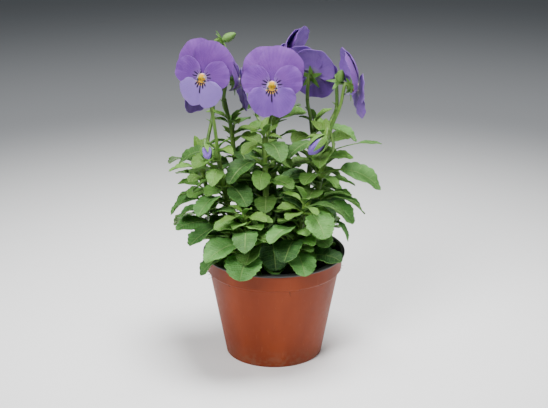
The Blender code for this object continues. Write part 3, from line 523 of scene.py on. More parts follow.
def shown_leaf(shown, rng):
    root = along(stem_path(SHOOTS[shown.shoot]), shown.share)
    seed = int(rng.integers(1, 10**6))
    shape = (shown.azimuth, shown.rises, shown.petiole, shown.length, shown.width, shown.roll)
    return Leaf(shown.shoot, shown.share, root, *shape, SHOWN_CUP, 0.0, seed)


def trials(wanted, shrinks=(1.0, 0.86, 0.74), shifts=SHIFTS, turns=TURNS):
    """The leaf as wanted, then swung, tipped and moved along its stem, then smaller."""
    stem = stem_path(SHOOTS[wanted.shoot])
    for shrink in shrinks:
        for shift in shifts:
            root = along(stem, wanted.share + shift)
            for tip in TIPS:
                rises = tuple(r + tip * k for r, k in zip(wanted.rises, (0.4, 0.8, 1, 1)))
                for turn in turns:
                    yield wanted._replace(
                        share=wanted.share + shift,
                        root=root,
                        azimuth=wanted.azimuth + turn,
                        rises=rises,
                        length=wanted.length * shrink,
                        width=wanted.width * shrink,
                    )


def with_points(table, owner, points):
    """The table of points with these added, each with the shoot that bears it."""
    return np.vstack([table, np.column_stack([points, np.full(len(points), owner)])])


def points_near(table, centre, reach, shoot):
    """The table's points within reach, and those of them that other shoots bear."""
    near = table[np.linalg.norm(table[:, :3] - centre, axis=1) < reach]
    return near[:, :3], near[near[:, 3] != shoot, :3]


class Thicket:
    """What already grows, so that each new leaf can be placed clear of it."""

    def __init__(self):
        self.marks = np.empty((0, 4))
        self.skins = np.empty((0, 4))
        self.rods = np.empty((0, 4))
        self.marks = with_points(self.marks, NO_SHOOT, rim_window())
        for index, shoot in enumerate(SHOOTS):
            self.marks = with_points(self.marks, index, stem_path(shoot, STEM_MARKS))
            self.rods = with_points(self.rods, index, stem_path(shoot, STEM_RODS))
        for head in BLOOMS + BUDS:
            self.marks = with_points(self.marks, head.shoot, stalk_path(head, STALK_MARKS))
            spots = bloom_points(head) if head in BLOOMS else bud_points(head)
            self.marks = with_points(self.marks, NO_SHOOT, spots)
            self.rods = with_points(self.rods, head.shoot, stalk_path(head, STALK_RODS))

    def cuts_nothing(self, leaf):
        """Whether a small leaf, point by point, keeps off every leaf's skin and other shoots' stems."""
        petiole, blade = skin_points(leaf)
        both = np.vstack([petiole, blade])
        centre = blade.mean(0)
        reach = np.linalg.norm(both - centre, axis=1).max() + ROD_ROOM
        if nearest(both, points_near(self.rods, centre, reach, leaf.shoot)[1]) < ROD_ROOM:
            return False
        skins, others = points_near(self.skins, centre, reach, leaf.shoot)
        return nearest(blade, skins) >= SKIN_ROOM and nearest(petiole, others) >= SKIN_ROOM

    def place(self, options, blade_room, stalk_room, small=False):
        """The first of the options that is clear of the pot and of all that grows, or None."""
        for leaf in options:
            petiole, blade = leaf_points(leaf)
            if not clear_of_pot(np.vstack([petiole, blade])):
                continue
            reach = leaf.petiole + leaf.length + leaf.width + blade_room
            everything, others = points_near(self.marks, leaf.root, reach, leaf.shoot)
            if nearest(petiole, others) < stalk_room or nearest(blade, everything) < blade_room:
                continue
            if small and not self.cuts_nothing(leaf):
                continue
            self.marks = with_points(self.marks, leaf.shoot, np.vstack([petiole, blade]))
            self.skins = with_points(self.skins, leaf.shoot, np.vstack(skin_points(leaf)))
            return leaf
        return None


def plan_leaves(thicket):
    """The leaves shown first, then leaves in turn from the bottom up, each clear of all before it."""
    rng = np.random.default_rng(LEAF_SEED)
    wishes = [shown_leaf(shown, rng) for shown in SHOWN_LEAVES]
    for order in range(max(s.leaves for s in SHOOTS)):
        wishes += [leaf_at(k, s, order, rng) for k, s in enumerate(SHOOTS) if order < s.leaves]
    placed = [thicket.place(trials(wanted), BLADE_ROOM, STALK_ROOM) for wanted in wishes]
    return [leaf for leaf in placed if leaf]


def medium_leaf(index, shoot, order, rng):
    """A half-grown leaf from an axil or a side shoot, hanging outwards from its stalk."""
    high = order / (MEDIUM_LEAVES - 1)
    share = MEDIUM_START + MEDIUM_SPAN * high
    azimuth = shoot.first_turn + 60 + GOLDEN_ANGLE * order + rng.uniform(-25, 25)
    length = (0.0195 - 0.0035 * high) * rng.uniform(0.80, 1.12)
    width = length * (0.92 - 0.26 * high) * rng.uniform(0.90, 1.08)
    lean = rng.uniform(-18, 16)
    rises = (50 + lean * 0.3, 24 + lean * 0.6, -20 + 10 * high + lean, -52 + 16 * high + lean)
    petiole = (0.0125 - 0.0060 * high) * rng.uniform(0.75, 1.20)
    roll, cup, swing = rng.uniform(-20, 20), rng.uniform(0.04, 0.22), rng.uniform(-18, 18)
    root = along(stem_path(shoot), share)
    shape = (azimuth, rises, petiole, length, width, roll, cup, swing)
    return Leaf(index, share, root, *shape, int(rng.integers(1, 10**6)))


def tip_leaf(index, shoot, order, rng):
    """One of the small upright leaves round a shoot's tip."""
    length = rng.uniform(0.009, 0.016)
    lean = rng.uniform(-14, 14)
    rises = (76, 58 + lean, 34 + lean, 8 + lean)
    azimuth = shoot.first_turn + GOLDEN_ANGLE * order
    root = along(stem_path(shoot), TIP_SHARE)
    shape = (azimuth, rises, rng.uniform(0.002, 0.005), length, length * 0.50, 0.0, 0.3, 0.0)
    return Leaf(index, TIP_SHARE, root, *shape, int(rng.integers(1, 10**6)))


def plan_small_leaves(thicket):
    """Medium leaves all along the shoots, then the tufts at their tips, where there is room for them."""
    rng = np.random.default_rng(SMALL_SEED)
    tables = ((medium_leaf, MEDIUM_LEAVES, []), (tip_leaf, TIP_LEAVES, []))
    for make, count, placed in tables:
        for order in range(count):
            for index, shoot in enumerate(SHOOTS):
                wanted = make(index, shoot, order, rng)
                options = trials(wanted, SMALL_SHRINKS, SMALL_SHIFTS, SMALL_TURNS)
                placed.append(thicket.place(options, SMALL_BLADE_ROOM, SMALL_STALK_ROOM, small=True))
    return [[leaf for leaf in placed if leaf] for _, _, placed in tables]


# Node trees, written as expressions


class Wire:
    """An output in a node tree; arithmetic on it adds the Math nodes."""

    def __init__(self, nodes, socket):
        self.nodes, self.socket = nodes, socket

    def math(self, operation, *others):
        return self.nodes.node("ShaderNodeMath", {"operation": operation}, dict(enumerate((self, *others))))

    def __add__(self, other):
        return self.math("ADD", other)

    def __sub__(self, other):
        return self.math("SUBTRACT", other)

    def __rsub__(self, other):
        return self.nodes.node("ShaderNodeMath", {"operation": "SUBTRACT"}, {0: other, 1: self})

    def __mul__(self, other):
        return self.math("MULTIPLY", other)

    def __truediv__(self, other):
        return self.math("DIVIDE", other)

    def __pow__(self, other):
        return self.math("POWER", other)

    def __abs__(self):
        return self.math("ABSOLUTE")

    __radd__ = __add__

    def fract(self):
        return self.math("FRACT")

    def sine(self):
        return self.math("SINE")

    def ease(self, low, high):
        """0 below low, 1 above high and a smooth step between; high may be the lesser."""
        span = {"Value": self, "From Min": low, "From Max": high}
        return self.nodes.node("ShaderNodeMapRange", {"interpolation_type": "SMOOTHSTEP"}, span)

    def output(self, name):
        """Another output of the same node."""
        return Wire(self.nodes, self.socket.node.outputs[name])


class Nodes:
    """A node tree under construction."""

    def __init__(self, tree):
        self.tree = tree

    def node(self, kind, settings=None, sockets=None, output=0):
        """A node with its settings, then its sockets' values or links, and one of its outputs."""
        made = self.tree.nodes.new(kind)
        for label, value in (settings or {}).items():
            setattr(made, label, value)
        for label, value in (sockets or {}).items():
            if isinstance(value, Wire):
                self.tree.links.new(value.socket, made.inputs[label])
            else:
                made.inputs[label].default_value = value
        return Wire(self, made.outputs[output])


class Finish(Nodes):
    """A surface finish on one Principled shader."""

    def __init__(self, name):
        self.material = bpy.data.materials.new(name)
        self.material.use_nodes = True
        super().__init__(self.material.node_tree)
        self.shader = self.tree.nodes["Principled BSDF"]

    def mark(self, name):
        """A number that the mesh carries at each point."""
        return self.node("ShaderNodeAttribute", {"attribute_name": name}, output="Fac")

    def place(self):
        return self.node("ShaderNodeTexCoord", output="Object")

    def noise(self, scale, detail=3.0, stretch=None):
        where = self.place()
        if stretch:
            where = self.node("ShaderNodeMapping", {}, {"Vector": where, "Scale": stretch})
        return self.node("ShaderNodeTexNoise", {}, {"Vector": where, "Scale": scale, "Detail": detail})

    def cells(self, scale):
        """Distance to the nearest border between cells."""
        settings = {"feature": "DISTANCE_TO_EDGE"}
        return self.node("ShaderNodeTexVoronoi", settings, {"Vector": self.place(), "Scale": scale})

    def mix(self, share, first, second):
        colours = {6: rgba(first), 7: rgba(second)}
        return self.node("ShaderNodeMix", {"data_type": "RGBA"}, {0: share, **colours}, output=2)

    def tinted(self, colour, *tints):
        """The colour with each tint mixed over it in turn, by the share given with it."""
        for share, tint in tints:
            colour = self.mix(share, colour, tint)
        return colour

    def surface(self, colour, roughness, relief=None, depth=0.0002, **constants):
        """Links what varies to the shader, and sets its constants on its own sockets."""
        values = {"Base Color": rgba(colour), "Roughness": roughness}
        if relief is not None:
            height = {"Height": relief, "Distance": depth, "Strength": 1.0}
            values["Normal"] = self.node("ShaderNodeBump", {}, height)
        for label, value in values.items():
            if isinstance(value, Wire):
                self.tree.links.new(value.socket, self.shader.inputs[label])
            else:
                self.shader.inputs[label].default_value = value
        for label, value in constants.items():
            self.shader.inputs[label.replace("_", " ").title().replace("Ior", "IOR")].default_value = value
        return self.material


def rgba(colour):
    return colour if isinstance(colour, Wire) else (*colour, 1.0)


class Growth(Nodes):
    """A Geometry Nodes tree with named inputs."""

    def __init__(self, name, inputs):
        super().__init__(bpy.data.node_groups.new(name, "GeometryNodeTree"))
        for label, (kind, value) in {"Source": ("NodeSocketGeometry", None), **inputs}.items():
            socket = self.tree.interface.new_socket(name=label, in_out="INPUT", socket_type=kind)
            if value is not None:
                socket.default_value = value
        self.tree.interface.new_socket(name="Result", in_out="OUTPUT", socket_type="NodeSocketGeometry")
        self.entry = self.tree.nodes.new("NodeGroupInput")
        self.exit = self.tree.nodes.new("NodeGroupOutput")

    def given(self, name):
        return Wire(self, self.entry.outputs[name])

    def named(self, name, kind="FLOAT"):
        """An attribute of the source."""
        return self.node("GeometryNodeInputNamedAttribute", {"data_type": kind}, {"Name": name})

    def random(self, low, high, seed):
        """A random vector between two others, for each point."""
        made = self.tree.nodes.new("FunctionNodeRandomValue")
        made.data_type = "FLOAT_VECTOR"
        live = [s for s in made.inputs if s.enabled]
        live[0].default_value, live[1].default_value = low, high
        made.inputs["Seed"].default_value = seed
        return Wire(self, next(s for s in made.outputs if s.enabled))

    def close(self, geometry, material):
        """Ends the tree with real faces in that material."""
        real = self.node("GeometryNodeRealizeInstances", {}, {"Geometry": geometry})
        smooth = self.node("GeometryNodeSetShadeSmooth", {}, {"Geometry": real})
        dressed = self.node("GeometryNodeSetMaterial", {}, {"Geometry": smooth, "Material": material})
        self.tree.links.new(dressed.socket, self.exit.inputs["Result"])
        return self


def linked(name, data):
    """A new object in the scene, of that data."""
    made = bpy.data.objects.new(name, data)
    bpy.context.scene.collection.objects.link(made)
    return made


def real_mesh(made, keep_marks):
    """The mesh that an object's modifiers give, which are then removed."""
    graph = bpy.context.evaluated_depsgraph_get()
    options = {"preserve_all_data_layers": True, "depsgraph": graph} if keep_marks else {}
    mesh = bpy.data.meshes.new_from_object(made.evaluated_get(graph), **options)
    made.modifiers.clear()
    return mesh


def grown(source, growth, name, **values):
    """The plain mesh that a tree makes of an object, which is then removed."""
    modifier = source.modifiers.new(growth.tree.name, "NODES")
    modifier.node_group = growth.tree
    for item in growth.tree.interface.items_tree:
        if item.in_out == "INPUT" and item.name in values:
            modifier[item.identifier] = values[item.name]
    mesh = real_mesh(source, keep_marks=True)
    bpy.data.objects.remove(source)
    mesh.name = name
    return linked(name, mesh)


# Skins: points and faces gathered part by part


def shell(grid, thick):
    """A thin curved sheet as a closed skin, two points thick: a grid of middle points and its thickness."""
    rows, columns = grid.shape[:2]
    normal = units(np.cross(np.gradient(grid, axis=0), np.gradient(grid, axis=1)))
    half = normal * (np.broadcast_to(thick, (rows, columns)) / 2)[..., None]
    points = np.vstack([(grid + half).reshape(-1, 3), (grid - half).reshape(-1, 3)])
    front = np.arange(rows * columns).reshape(rows, columns)
    back = front + rows * columns
    faces = quads(front[:-1, :-1], front[1:, :-1], front[1:, 1:], front[:-1, 1:])
    count = len(faces)
    faces += quads(back[:-1, :-1], back[:-1, 1:], back[1:, 1:], back[1:, :-1])
    faces += quads(front[0, :-1], front[0, 1:], back[0, 1:], back[0, :-1])
    faces += quads(front[-1, 1:], front[-1, :-1], back[-1, :-1], back[-1, 1:])
    faces += quads(front[1:, 0], front[:-1, 0], back[:-1, 0], back[1:, 0])
    faces += quads(front[:-1, -1], front[1:, -1], back[1:, -1], back[:-1, -1])
    return points, faces, [0] * count + [1] * (len(faces) - count)


def quads(a, b, c, d):
    return np.stack([a.ravel(), b.ravel(), c.ravel(), d.ravel()], axis=1).tolist()


def turned(profile, sides, looped=False):
    """A closed skin turned from the radius and depth of each ring; a ring of radius 0 is a pole."""
    rings, points = [], []
    angles = np.arange(sides) * 2 * math.pi / sides
    for r, z in profile:
        if r <= 0:
            rings.append([len(points)] * sides)
            points.append((0.0, 0.0, z))
        else:
            rings.append(list(range(len(points), len(points) + sides)))
            points += [(r * math.cos(a), r * math.sin(a), z) for a in angles]
    faces = []
    pairs = list(zip(rings, rings[1:]))
    if looped:
        pairs.append((rings[-1], rings[0]))
    for lower, upper in pairs:
        for k in range(sides):
            n = (k + 1) % sides
            corners = [lower[k], lower[n], upper[n], upper[k]]
            faces.append([c for i, c in enumerate(corners) if c != corners[i - 1]])
    return np.array(points), faces


def mark_points(mesh, mark, values):
    """Gives each point of a mesh a number, from the arrays of the mesh's parts."""
    layer = mesh.attributes.new(mark, "FLOAT", "POINT")
    layer.data.foreach_set("value", np.concatenate(values).astype(np.float32))


class Skin:
    """One piece's points and faces, each part with its look and its marks, which the finishes read."""

    def __init__(self, *marks):
        self.marks = {mark: [] for mark in marks}
        self.points, self.faces, self.looks = [], [], []
        self.count = 0

    def add(self, points, faces, looks=0, **marks):
        points = np.asarray(points)
        self.points.append(points)
        self.faces += [[k + self.count for k in face] for face in faces]
        self.looks += looks if isinstance(looks, list) else [looks] * len(faces)
        for mark, found in self.marks.items():
            value = np.asarray(marks.get(mark, 0.0), float)
            if value.ndim and value.size * 2 == len(points):
                value = np.r_[value.ravel(), value.ravel()]
            found.append(np.broadcast_to(value.ravel() if value.ndim else value, len(points)))
        self.count += len(points)

    def piece(self, name, finishes, sharp=55):
        mesh = bpy.data.meshes.new(name)
        mesh.from_pydata(np.vstack(self.points).tolist(), [], self.faces)
        for finish in finishes:
            mesh.materials.append(finish)
        mesh.polygons.foreach_set("material_index", np.array(self.looks, dtype=np.int32))
        for mark, found in self.marks.items():
            mark_points(mesh, mark, found)
        mesh.shade_smooth()
        mesh.set_sharp_from_angle(angle=math.radians(sharp))
        return linked(name, mesh)


def strands_object(strands, name):
    """A mesh of open lines, each a path with its girth and tone along it, for a tree to sweep."""
    points = np.vstack([path for path, _, _ in strands])
    edges, start = [], 0
    for path, _, _ in strands:
        edges += [(start + k, start + k + 1) for k in range(len(path) - 1)]
        start += len(path)
    mesh = bpy.data.meshes.new(name)
    mesh.from_pydata(points.tolist(), edges, [])
    for index, mark in ((1, "girth"), (2, "tone")):
        mark_points(mesh, mark, [np.broadcast_to(strand[index], len(strand[0])) for strand in strands])
    return linked(name, mesh)


def number_of(plan):
    return plan.name.rpartition("_")[2]


def ride(piece, slot, *nodes):
    """Every piece belongs to the one body and stands for its nodes; the slot is not used."""
    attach(piece, "root")
    if nodes:
        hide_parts(*nodes)


# Finishes


def leaf_veins(finish):
    """Midrib, side veins to the teeth, and the fine net between them."""
    across, ribs = finish.mark("across"), finish.mark("ribs")
    midrib = abs(across).ease(0.075, 0.02)
    offset = abs((ribs + abs(across) * 0.18).fract() - 0.5)
    side = offset.ease(0.085, 0.02) * abs(across).ease(1.0, 0.55)
    return midrib, side, finish.cells(620)


def leaf_top():
    finish = Finish("leaf_top")
    tone, young = finish.mark("tone"), finish.mark("young")
    midrib, side, net = leaf_veins(finish)
    mottle = finish.noise(240, 4)
    patches = mottle.ease(0.3, 0.7)
    # Low tone takes the dark green: partly each leaf's own random tone, partly painted shade on the inner
    # leaves
    deep_and_shaded = finish.mix(patches, (0.010, 0.050, 0.011), (0.023, 0.090, 0.018))
    light = finish.mix(patches, (0.086, 0.252, 0.052), (0.132, 0.332, 0.084))
    green = finish.mix((tone + (finish.noise(90) - 0.5) * 0.5).ease(0.0, 1.0), deep_and_shaded, light)
    green = finish.tinted(
        green,
        (young * 0.6, (0.220, 0.410, 0.042)),
        (net.ease(0.10, 0.0) * 0.12, (0.20, 0.36, 0.10)),
        (side * 0.22, (0.25, 0.42, 0.12)),
        (midrib * 0.38, (0.32, 0.48, 0.15)),
    )
    relief = net.ease(0.0, 0.22) * 0.35 - side * 0.6 - midrib * 0.9 + mottle * 0.2
    return finish.surface(green, 0.50 + mottle * 0.18, relief, 0.00032, **LEAF_GLOW)


def leaf_back():
    finish = Finish("leaf_back")
    midrib, side, net = leaf_veins(finish)
    green = finish.mix(finish.noise(260).ease(0.3, 0.7), (0.070, 0.175, 0.030), (0.115, 0.250, 0.050))
    green = finish.tinted(
        green,
        (finish.mark("young") * 0.5, (0.21, 0.39, 0.09)),
        (net.ease(0.10, 0.0) * 0.2, (0.19, 0.33, 0.11)),
        ((side + midrib).ease(0.0, 1.6) * 0.7, (0.27, 0.42, 0.17)),
    )
    relief = side * 0.6 + midrib * 0.9 + net.ease(0.2, 0.0) * 0.3
    return finish.surface(green, 0.62, relief, 0.00025, **LEAF_GLOW)


def stem_green():
    finish = Finish("stem_green")
    streaks = finish.noise(420, 3, (1, 1, 0.12))
    green = finish.mix(streaks.ease(0.3, 0.75), (0.080, 0.185, 0.028), (0.170, 0.300, 0.050))
    green = finish.mix(finish.mark("tone").ease(0.0, 1.0), green, (0.055, 0.150, 0.022))
    relief = streaks + finish.noise(1500, 2) * 0.3
    return finish.surface(
        green, 0.42, relief, 0.00010, subsurface_weight=0.15, subsurface_scale=0.001,
        subsurface_radius=(0.6, 1.0, 0.3),
    )


def petal_veins(finish):
    """Fine veins that fan out from the claw and split half-way, 0 to 1."""
    fan, ray = finish.mark("fan"), finish.mark("ray")
    wander = (finish.noise(160, 2) - 0.5) * 3.2
    first = abs(((fan + wander) / 7.0).fract() - 0.5).ease(0.10, 0.0)
    second = abs(((fan + wander) / 3.5).fract() - 0.5).ease(0.12, 0.0) * ray.ease(9.0, 14.0)
    return (first + second * 0.6) * ray.ease(2.5, 6.0)


def whiskers(finish, kind):
    """Dark guide lines from the throat, on the side petals and the lower petal."""
    turn, ray = finish.mark("turn"), finish.mark("ray")
    bent = turn + (finish.noise(300, 1) - 0.5) * 5
    lower_gap = abs((bent / LOWER_LINE_STEP + 0.5).fract() - 0.5) * math.radians(LOWER_LINE_STEP) * ray
    lower_end = 8.6 - abs(turn) * 0.040 + abs(turn).ease(6, 3) * 2.6
    lower = lower_gap.ease(0.70, 0.42) * (lower_end - ray).ease(0.0, 1.6) * abs(turn).ease(50, 45)
    side_gap = abs((bent / SIDE_LINE_STEP).fract() - 0.5) * math.radians(SIDE_LINE_STEP) * ray
    side_end = 7.8 - abs(turn) * 0.04
    side = side_gap.ease(0.60, 0.34) * (side_end - ray).ease(0.0, 1.6) * abs(turn).ease(36, 31)
    start = ray.ease(3.0, 3.6)
    on_lower = kind.ease(1.2, 1.8)
    on_side = (1 - abs(kind - 1)).ease(0.2, 0.8)
    return (lower * on_lower + side * on_side) * start, on_lower, on_side


def petal_face():
    finish = Finish("petal_face")
    kind, ray = finish.mark("kind"), finish.mark("ray")
    rim, pale = finish.mark("rim"), finish.mark("pale")
    lines, on_lower, on_side = whiskers(finish, kind)
    veins = petal_veins(finish)
    mottle = finish.noise(130, 4)
    patches = mottle.ease(0.3, 0.7)
    warm = finish.mix(patches, (0.146, 0.037, 0.285), (0.188, 0.052, 0.340))
    cool = finish.mix(patches, (0.140, 0.058, 0.385), (0.180, 0.080, 0.455))
    violet = finish.mix(on_side * 0.15 + on_lower * (0.35 + pale * 0.5), warm, cool)
    shade = (1 - on_lower) * (1 - on_side) * ray.ease(12.0, 4.0)
    halo = ray.ease(8.5, 3.0) * (on_side + on_lower)
    white = ray.ease(4.0, 3.0) * on_side
    yellow = (ray + abs(finish.mark("turn")) * 0.020 + (mottle - 0.5) * 1.2).ease(5.9, 4.9) * on_lower
    violet = finish.tinted(
        violet,
        (rim.ease(0.75, 1.0) * 0.14, (0.34, 0.15, 0.58)),
        (veins * 0.34, (0.085, 0.022, 0.240)),
        (on_lower * pale, (0.34, 0.23, 0.64)),
        (shade * 0.4, (0.120, 0.035, 0.330)),
        (halo * 0.20, (0.46, 0.36, 0.76)),
        (white * 0.60, (0.74, 0.68, 0.80)),
        (yellow, (0.90, 0.50, 0.006)),
        (lines, (0.016, 0.004, 0.040)),
    )
    relief = veins * -0.45 + mottle * 0.4 + finish.noise(1800, 2) * 0.25
    return finish.surface(violet, 0.62, relief, 0.00018, sheen_weight=0.18, **PETAL_GLOW)


def petal_back():
    finish = Finish("petal_back")
    veins = petal_veins(finish)
    mottle = finish.noise(140, 4)
    violet = finish.mix(mottle.ease(0.3, 0.7), (0.185, 0.078, 0.385), (0.245, 0.115, 0.470))
    violet = finish.mix(finish.mark("ray").ease(9.0, 3.0) * 0.55, violet, (0.36, 0.40, 0.36))
    violet = finish.mix(veins * 0.32, violet, (0.105, 0.040, 0.270))
    relief = veins * 0.5 + mottle * 0.4
    return finish.surface(violet, 0.7, relief, 0.00018, sheen_weight=0.15, **PETAL_GLOW)


def throat_yellow():
    finish = Finish("throat_yellow")
    ray = finish.mark("ray")
    colour = finish.mix(ray.ease(2.2, 2.9), (0.86, 0.42, 0.008), (0.42, 0.33, 0.55))
    # Dark brown at the very middle, round and under the style: painted shade
    colour = finish.mix(ray.ease(1.7, 1.3), colour, (0.20, 0.13, 0.02))
    relief = finish.noise(1500, 2)
    return finish.surface(colour, 0.6, relief, 0.0001, subsurface_weight=0.1, subsurface_scale=0.001)


def style_yellow():
    """Yellow, brownish over the top of the knob, and darkened in its hollow by painted shade."""
    finish = Finish("style_yellow")
    colour = finish.mix(finish.noise(900).ease(0.3, 0.7), (0.46, 0.29, 0.0), (0.54, 0.36, 0.0))
    colour = finish.mix(finish.mark("high").ease(0.6, 1.6) * 0.30, colour, (0.42, 0.19, 0.0))
    # Painted shade in the hollow low on the knob's front
    colour = finish.mix(finish.mark("hollow") * 0.8, colour, (0.16, 0.06, 0.008))
    return finish.surface(colour, 0.6, finish.noise(2200, 2), 0.00008, specular_ior_level=0.2)


def beard_white():
    finish = Finish("beard_white")
    colour = finish.mix(finish.noise(2000, 1), (0.58, 0.54, 0.44), (0.76, 0.74, 0.70))
    return finish.surface(colour, 0.5)


def furled_violet():
    finish = Finish("furled_violet")
    rise, turn = finish.mark("ray"), finish.mark("turn")
    streaks = abs((turn / 20.0 + rise * 0.35).fract() - 0.5).ease(0.30, 0.05)
    violet = finish.mix(finish.noise(400), (0.12, 0.045, 0.36), (0.21, 0.095, 0.52))
    violet = finish.mix(streaks * 0.4, violet, (0.30, 0.19, 0.62))
    violet = finish.mix(rise.ease(2.6, 0.0), violet, (0.30, 0.38, 0.20))
    relief = streaks + finish.noise(900, 3) * 0.4
    return finish.surface(
        violet, 0.6, relief, 0.0002, subsurface_weight=0.15, subsurface_scale=0.001,
        sheen_weight=0.25, sheen_roughness=0.5, sheen_tint=(0.80, 0.72, 1.0, 1),
    )


def terracotta_plastic():
    finish = Finish("terracotta_plastic")
    flow = finish.noise(60, 4, (1, 1, 0.25))
    dust = finish.noise(300, 5)
    colour = finish.mix(flow.ease(0.3, 0.75), (0.155, 0.022, 0.003), (0.210, 0.033, 0.005))
    scuffs = finish.noise(700, 2, (1, 1, 0.06)).ease(0.66, 0.74)
    colour = finish.mix(scuffs * 0.20, colour, (0.30, 0.10, 0.04))
    height = finish.node("ShaderNodeSeparateXYZ", {}, {"Vector": finish.place()}, output="Z")
    low = height.ease(0.016, 0.0) * dust.ease(0.42, 0.62)
    colour = finish.mix(low * 0.40, colour, (0.19, 0.11, 0.07))
    relief = finish.noise(1600, 2) * 0.35 + flow * 0.6
    return finish.surface(
        colour, 0.42 + dust * 0.20 + low * 0.2, relief, 0.00009, specular_ior_level=0.20,
        subsurface_weight=0.04, subsurface_scale=0.001,
    )


def black_plastic():
    finish = Finish("black_plastic")
    dust = finish.noise(500, 5)
    colour = finish.mix(dust.ease(0.45, 0.8) * 0.5, (0.016, 0.017, 0.018), (0.060, 0.055, 0.048))
    relief = finish.noise(1700, 2) * 0.5 + dust * 0.3
    return finish.surface(colour, 0.36 + dust * 0.25, relief, 0.00009)


def peat():
    finish = Finish("peat")
    clods, grains = finish.noise(320, 6), finish.noise(1400, 4)
    colour = finish.mix(clods.ease(0.3, 0.7), (0.010, 0.007, 0.005), (0.040, 0.026, 0.017))
    colour = finish.mix(grains.ease(0.6, 0.75) * 0.6, colour, (0.095, 0.060, 0.036))
    return finish.surface(colour, 0.95, clods + grains * 0.6, 0.0009)


def crumb_brown():
    finish = Finish("crumb_brown")
    blend = finish.noise(260, 2)
    colour = finish.mix(blend.ease(0.35, 0.6), (0.012, 0.008, 0.006), (0.052, 0.032, 0.020))
    colour = finish.mix(blend.ease(0.64, 0.72), colour, (0.150, 0.095, 0.055))
    return finish.surface(colour, 0.92, finish.noise(2400, 3), 0.0004)


# Pot and soil


def pot_radius(z):
    """Outer radius of the pot's tapered wall below the collar."""
    top = POT_RIM_RADIUS - COLLAR_STEP - COLLAR_INSET
    return POT_BASE_RADIUS + (top - POT_BASE_RADIUS) * z / (POT_HEIGHT - COLLAR_HEIGHT)


def rounded(profile, reach, steps=4):
    """A profile with each inner corner eased over that reach."""
    profile = np.array(profile, float)
    made = [profile[0]]
    for a, b, c in zip(profile, profile[1:], profile[2:]):
        cut = min(reach, np.linalg.norm(a - b) * 0.45, np.linalg.norm(c - b) * 0.45)
        start, end = b + unit(a - b) * cut, b + unit(c - b) * cut
        for t in np.linspace(0, 1, steps):
            made.append(start * (1 - t) ** 2 + 2 * b * t * (1 - t) + end * t**2)
    return [*made, profile[-1]]


def pot_profile():
    step_z = POT_HEIGHT - COLLAR_HEIGHT
    step = pot_radius(step_z)
    floor = BASE_CHANNEL + POT_WALL
    foot_in = POT_BASE_RADIUS - FOOT_WIDTH
    neck = POT_RIM_RADIUS - LIP_OUT
    return [
        (0.0, floor),
        (POT_BASE_RADIUS - POT_WALL, floor),
        (step - POT_WALL - 0.0002, step_z - 0.0014),
        (step + COLLAR_STEP - POT_WALL, step_z + 0.0006),
        (neck - POT_WALL, POT_HEIGHT),
        (POT_RIM_RADIUS, POT_HEIGHT - 0.0003),
        (POT_RIM_RADIUS, POT_HEIGHT - LIP_THICK + 0.0003),
        (neck, POT_HEIGHT - LIP_THICK),
        (step + COLLAR_STEP, step_z),
        (step - 0.0002, step_z - 0.0012),
        (POT_BASE_RADIUS, 0.0),
        (foot_in, 0.0),
        (foot_in - 0.001, BASE_CHANNEL),
        (BASE_DISC_RADIUS + 0.001, BASE_CHANNEL),
        (BASE_DISC_RADIUS, 0.0),
        (0.0, 0.0),
    ]


def make_pot():
    """The turned two-tone wall, its drain holes cut through the floor."""
    points, faces = turned(rounded(pot_profile(), CORNER_ROUNDING), POT_SEGMENTS)
    skin = Skin()
    skin.add(points, [face[::-1] for face in faces])
    pot = skin.piece("pot_wall", [terracotta_plastic(), black_plastic()], sharp=35)
    drills = bpy.data.collections.new("drain_drills")
    bpy.context.scene.collection.children.link(drills)
    ring = (BASE_DISC_RADIUS + POT_BASE_RADIUS - FOOT_WIDTH) / 2
    for k in range(DRAIN_HOLES):
        turn = math.radians(360 * (k + 0.5) / DRAIN_HOLES)
        work = bmesh.new()
        size = {"radius1": DRAIN_RADIUS, "radius2": DRAIN_RADIUS, "depth": DRILL_DEPTH}
        bmesh.ops.create_cone(work, cap_ends=True, segments=32, **size)
        mesh = bpy.data.meshes.new(f"drain_drill_{k}")
        work.to_mesh(mesh)
        work.free()
        drill = bpy.data.objects.new(mesh.name, mesh)
        drill.location = (ring * math.cos(turn), ring * math.sin(turn), BASE_CHANNEL + POT_WALL)
        drills.objects.link(drill)
    cut = pot.modifiers.new("drain", "BOOLEAN")
    cut.operand_type = "COLLECTION"
    cut.collection = drills
    pot.data = real_mesh(pot, keep_marks=False)
    for drill in list(drills.objects):
        bpy.data.objects.remove(drill)
    bpy.data.collections.remove(drills)
    for face in pot.data.polygons:
        x, y, z = face.center
        inside = math.hypot(x, y) < inner_limit(z) and z > BASE_CHANNEL + POT_WALL * 0.9
        face.material_index = int(inside or z > POT_HEIGHT - LIP_THICK - 0.00005)
    pot.data.set_sharp_from_angle(angle=math.radians(35))
    ride(pot, "pot", "pot")


def inner_limit(z):
    """Radius at the middle of the pot's wall, at a height."""
    step_z = POT_HEIGHT - COLLAR_HEIGHT
    if z < step_z:
        return pot_radius(z) - POT_WALL * 0.5
    return pot_radius(step_z) + COLLAR_STEP - POT_WALL * 0.3


def soil_height(x, y):
    """A lightly mounded, crumbly top."""
    reach = np.hypot(x, y) / POT_RIM_RADIUS
    lumps = np.sin(x * 690 + 1.3) * np.cos(y * 570 - 0.4) + 0.7 * np.sin(x * 1130 - y * 910)
    clods = np.sin(x * 2900 + 2.0 * np.sin(y * 1700)) * np.sin(y * 3100 + 1.5 * np.sin(x * 2100))
    return SOIL_TOP - 0.0016 * reach**2 + SOIL_BUMP * 0.5 * (lumps + 0.45 * clods) * (1 - reach**4)


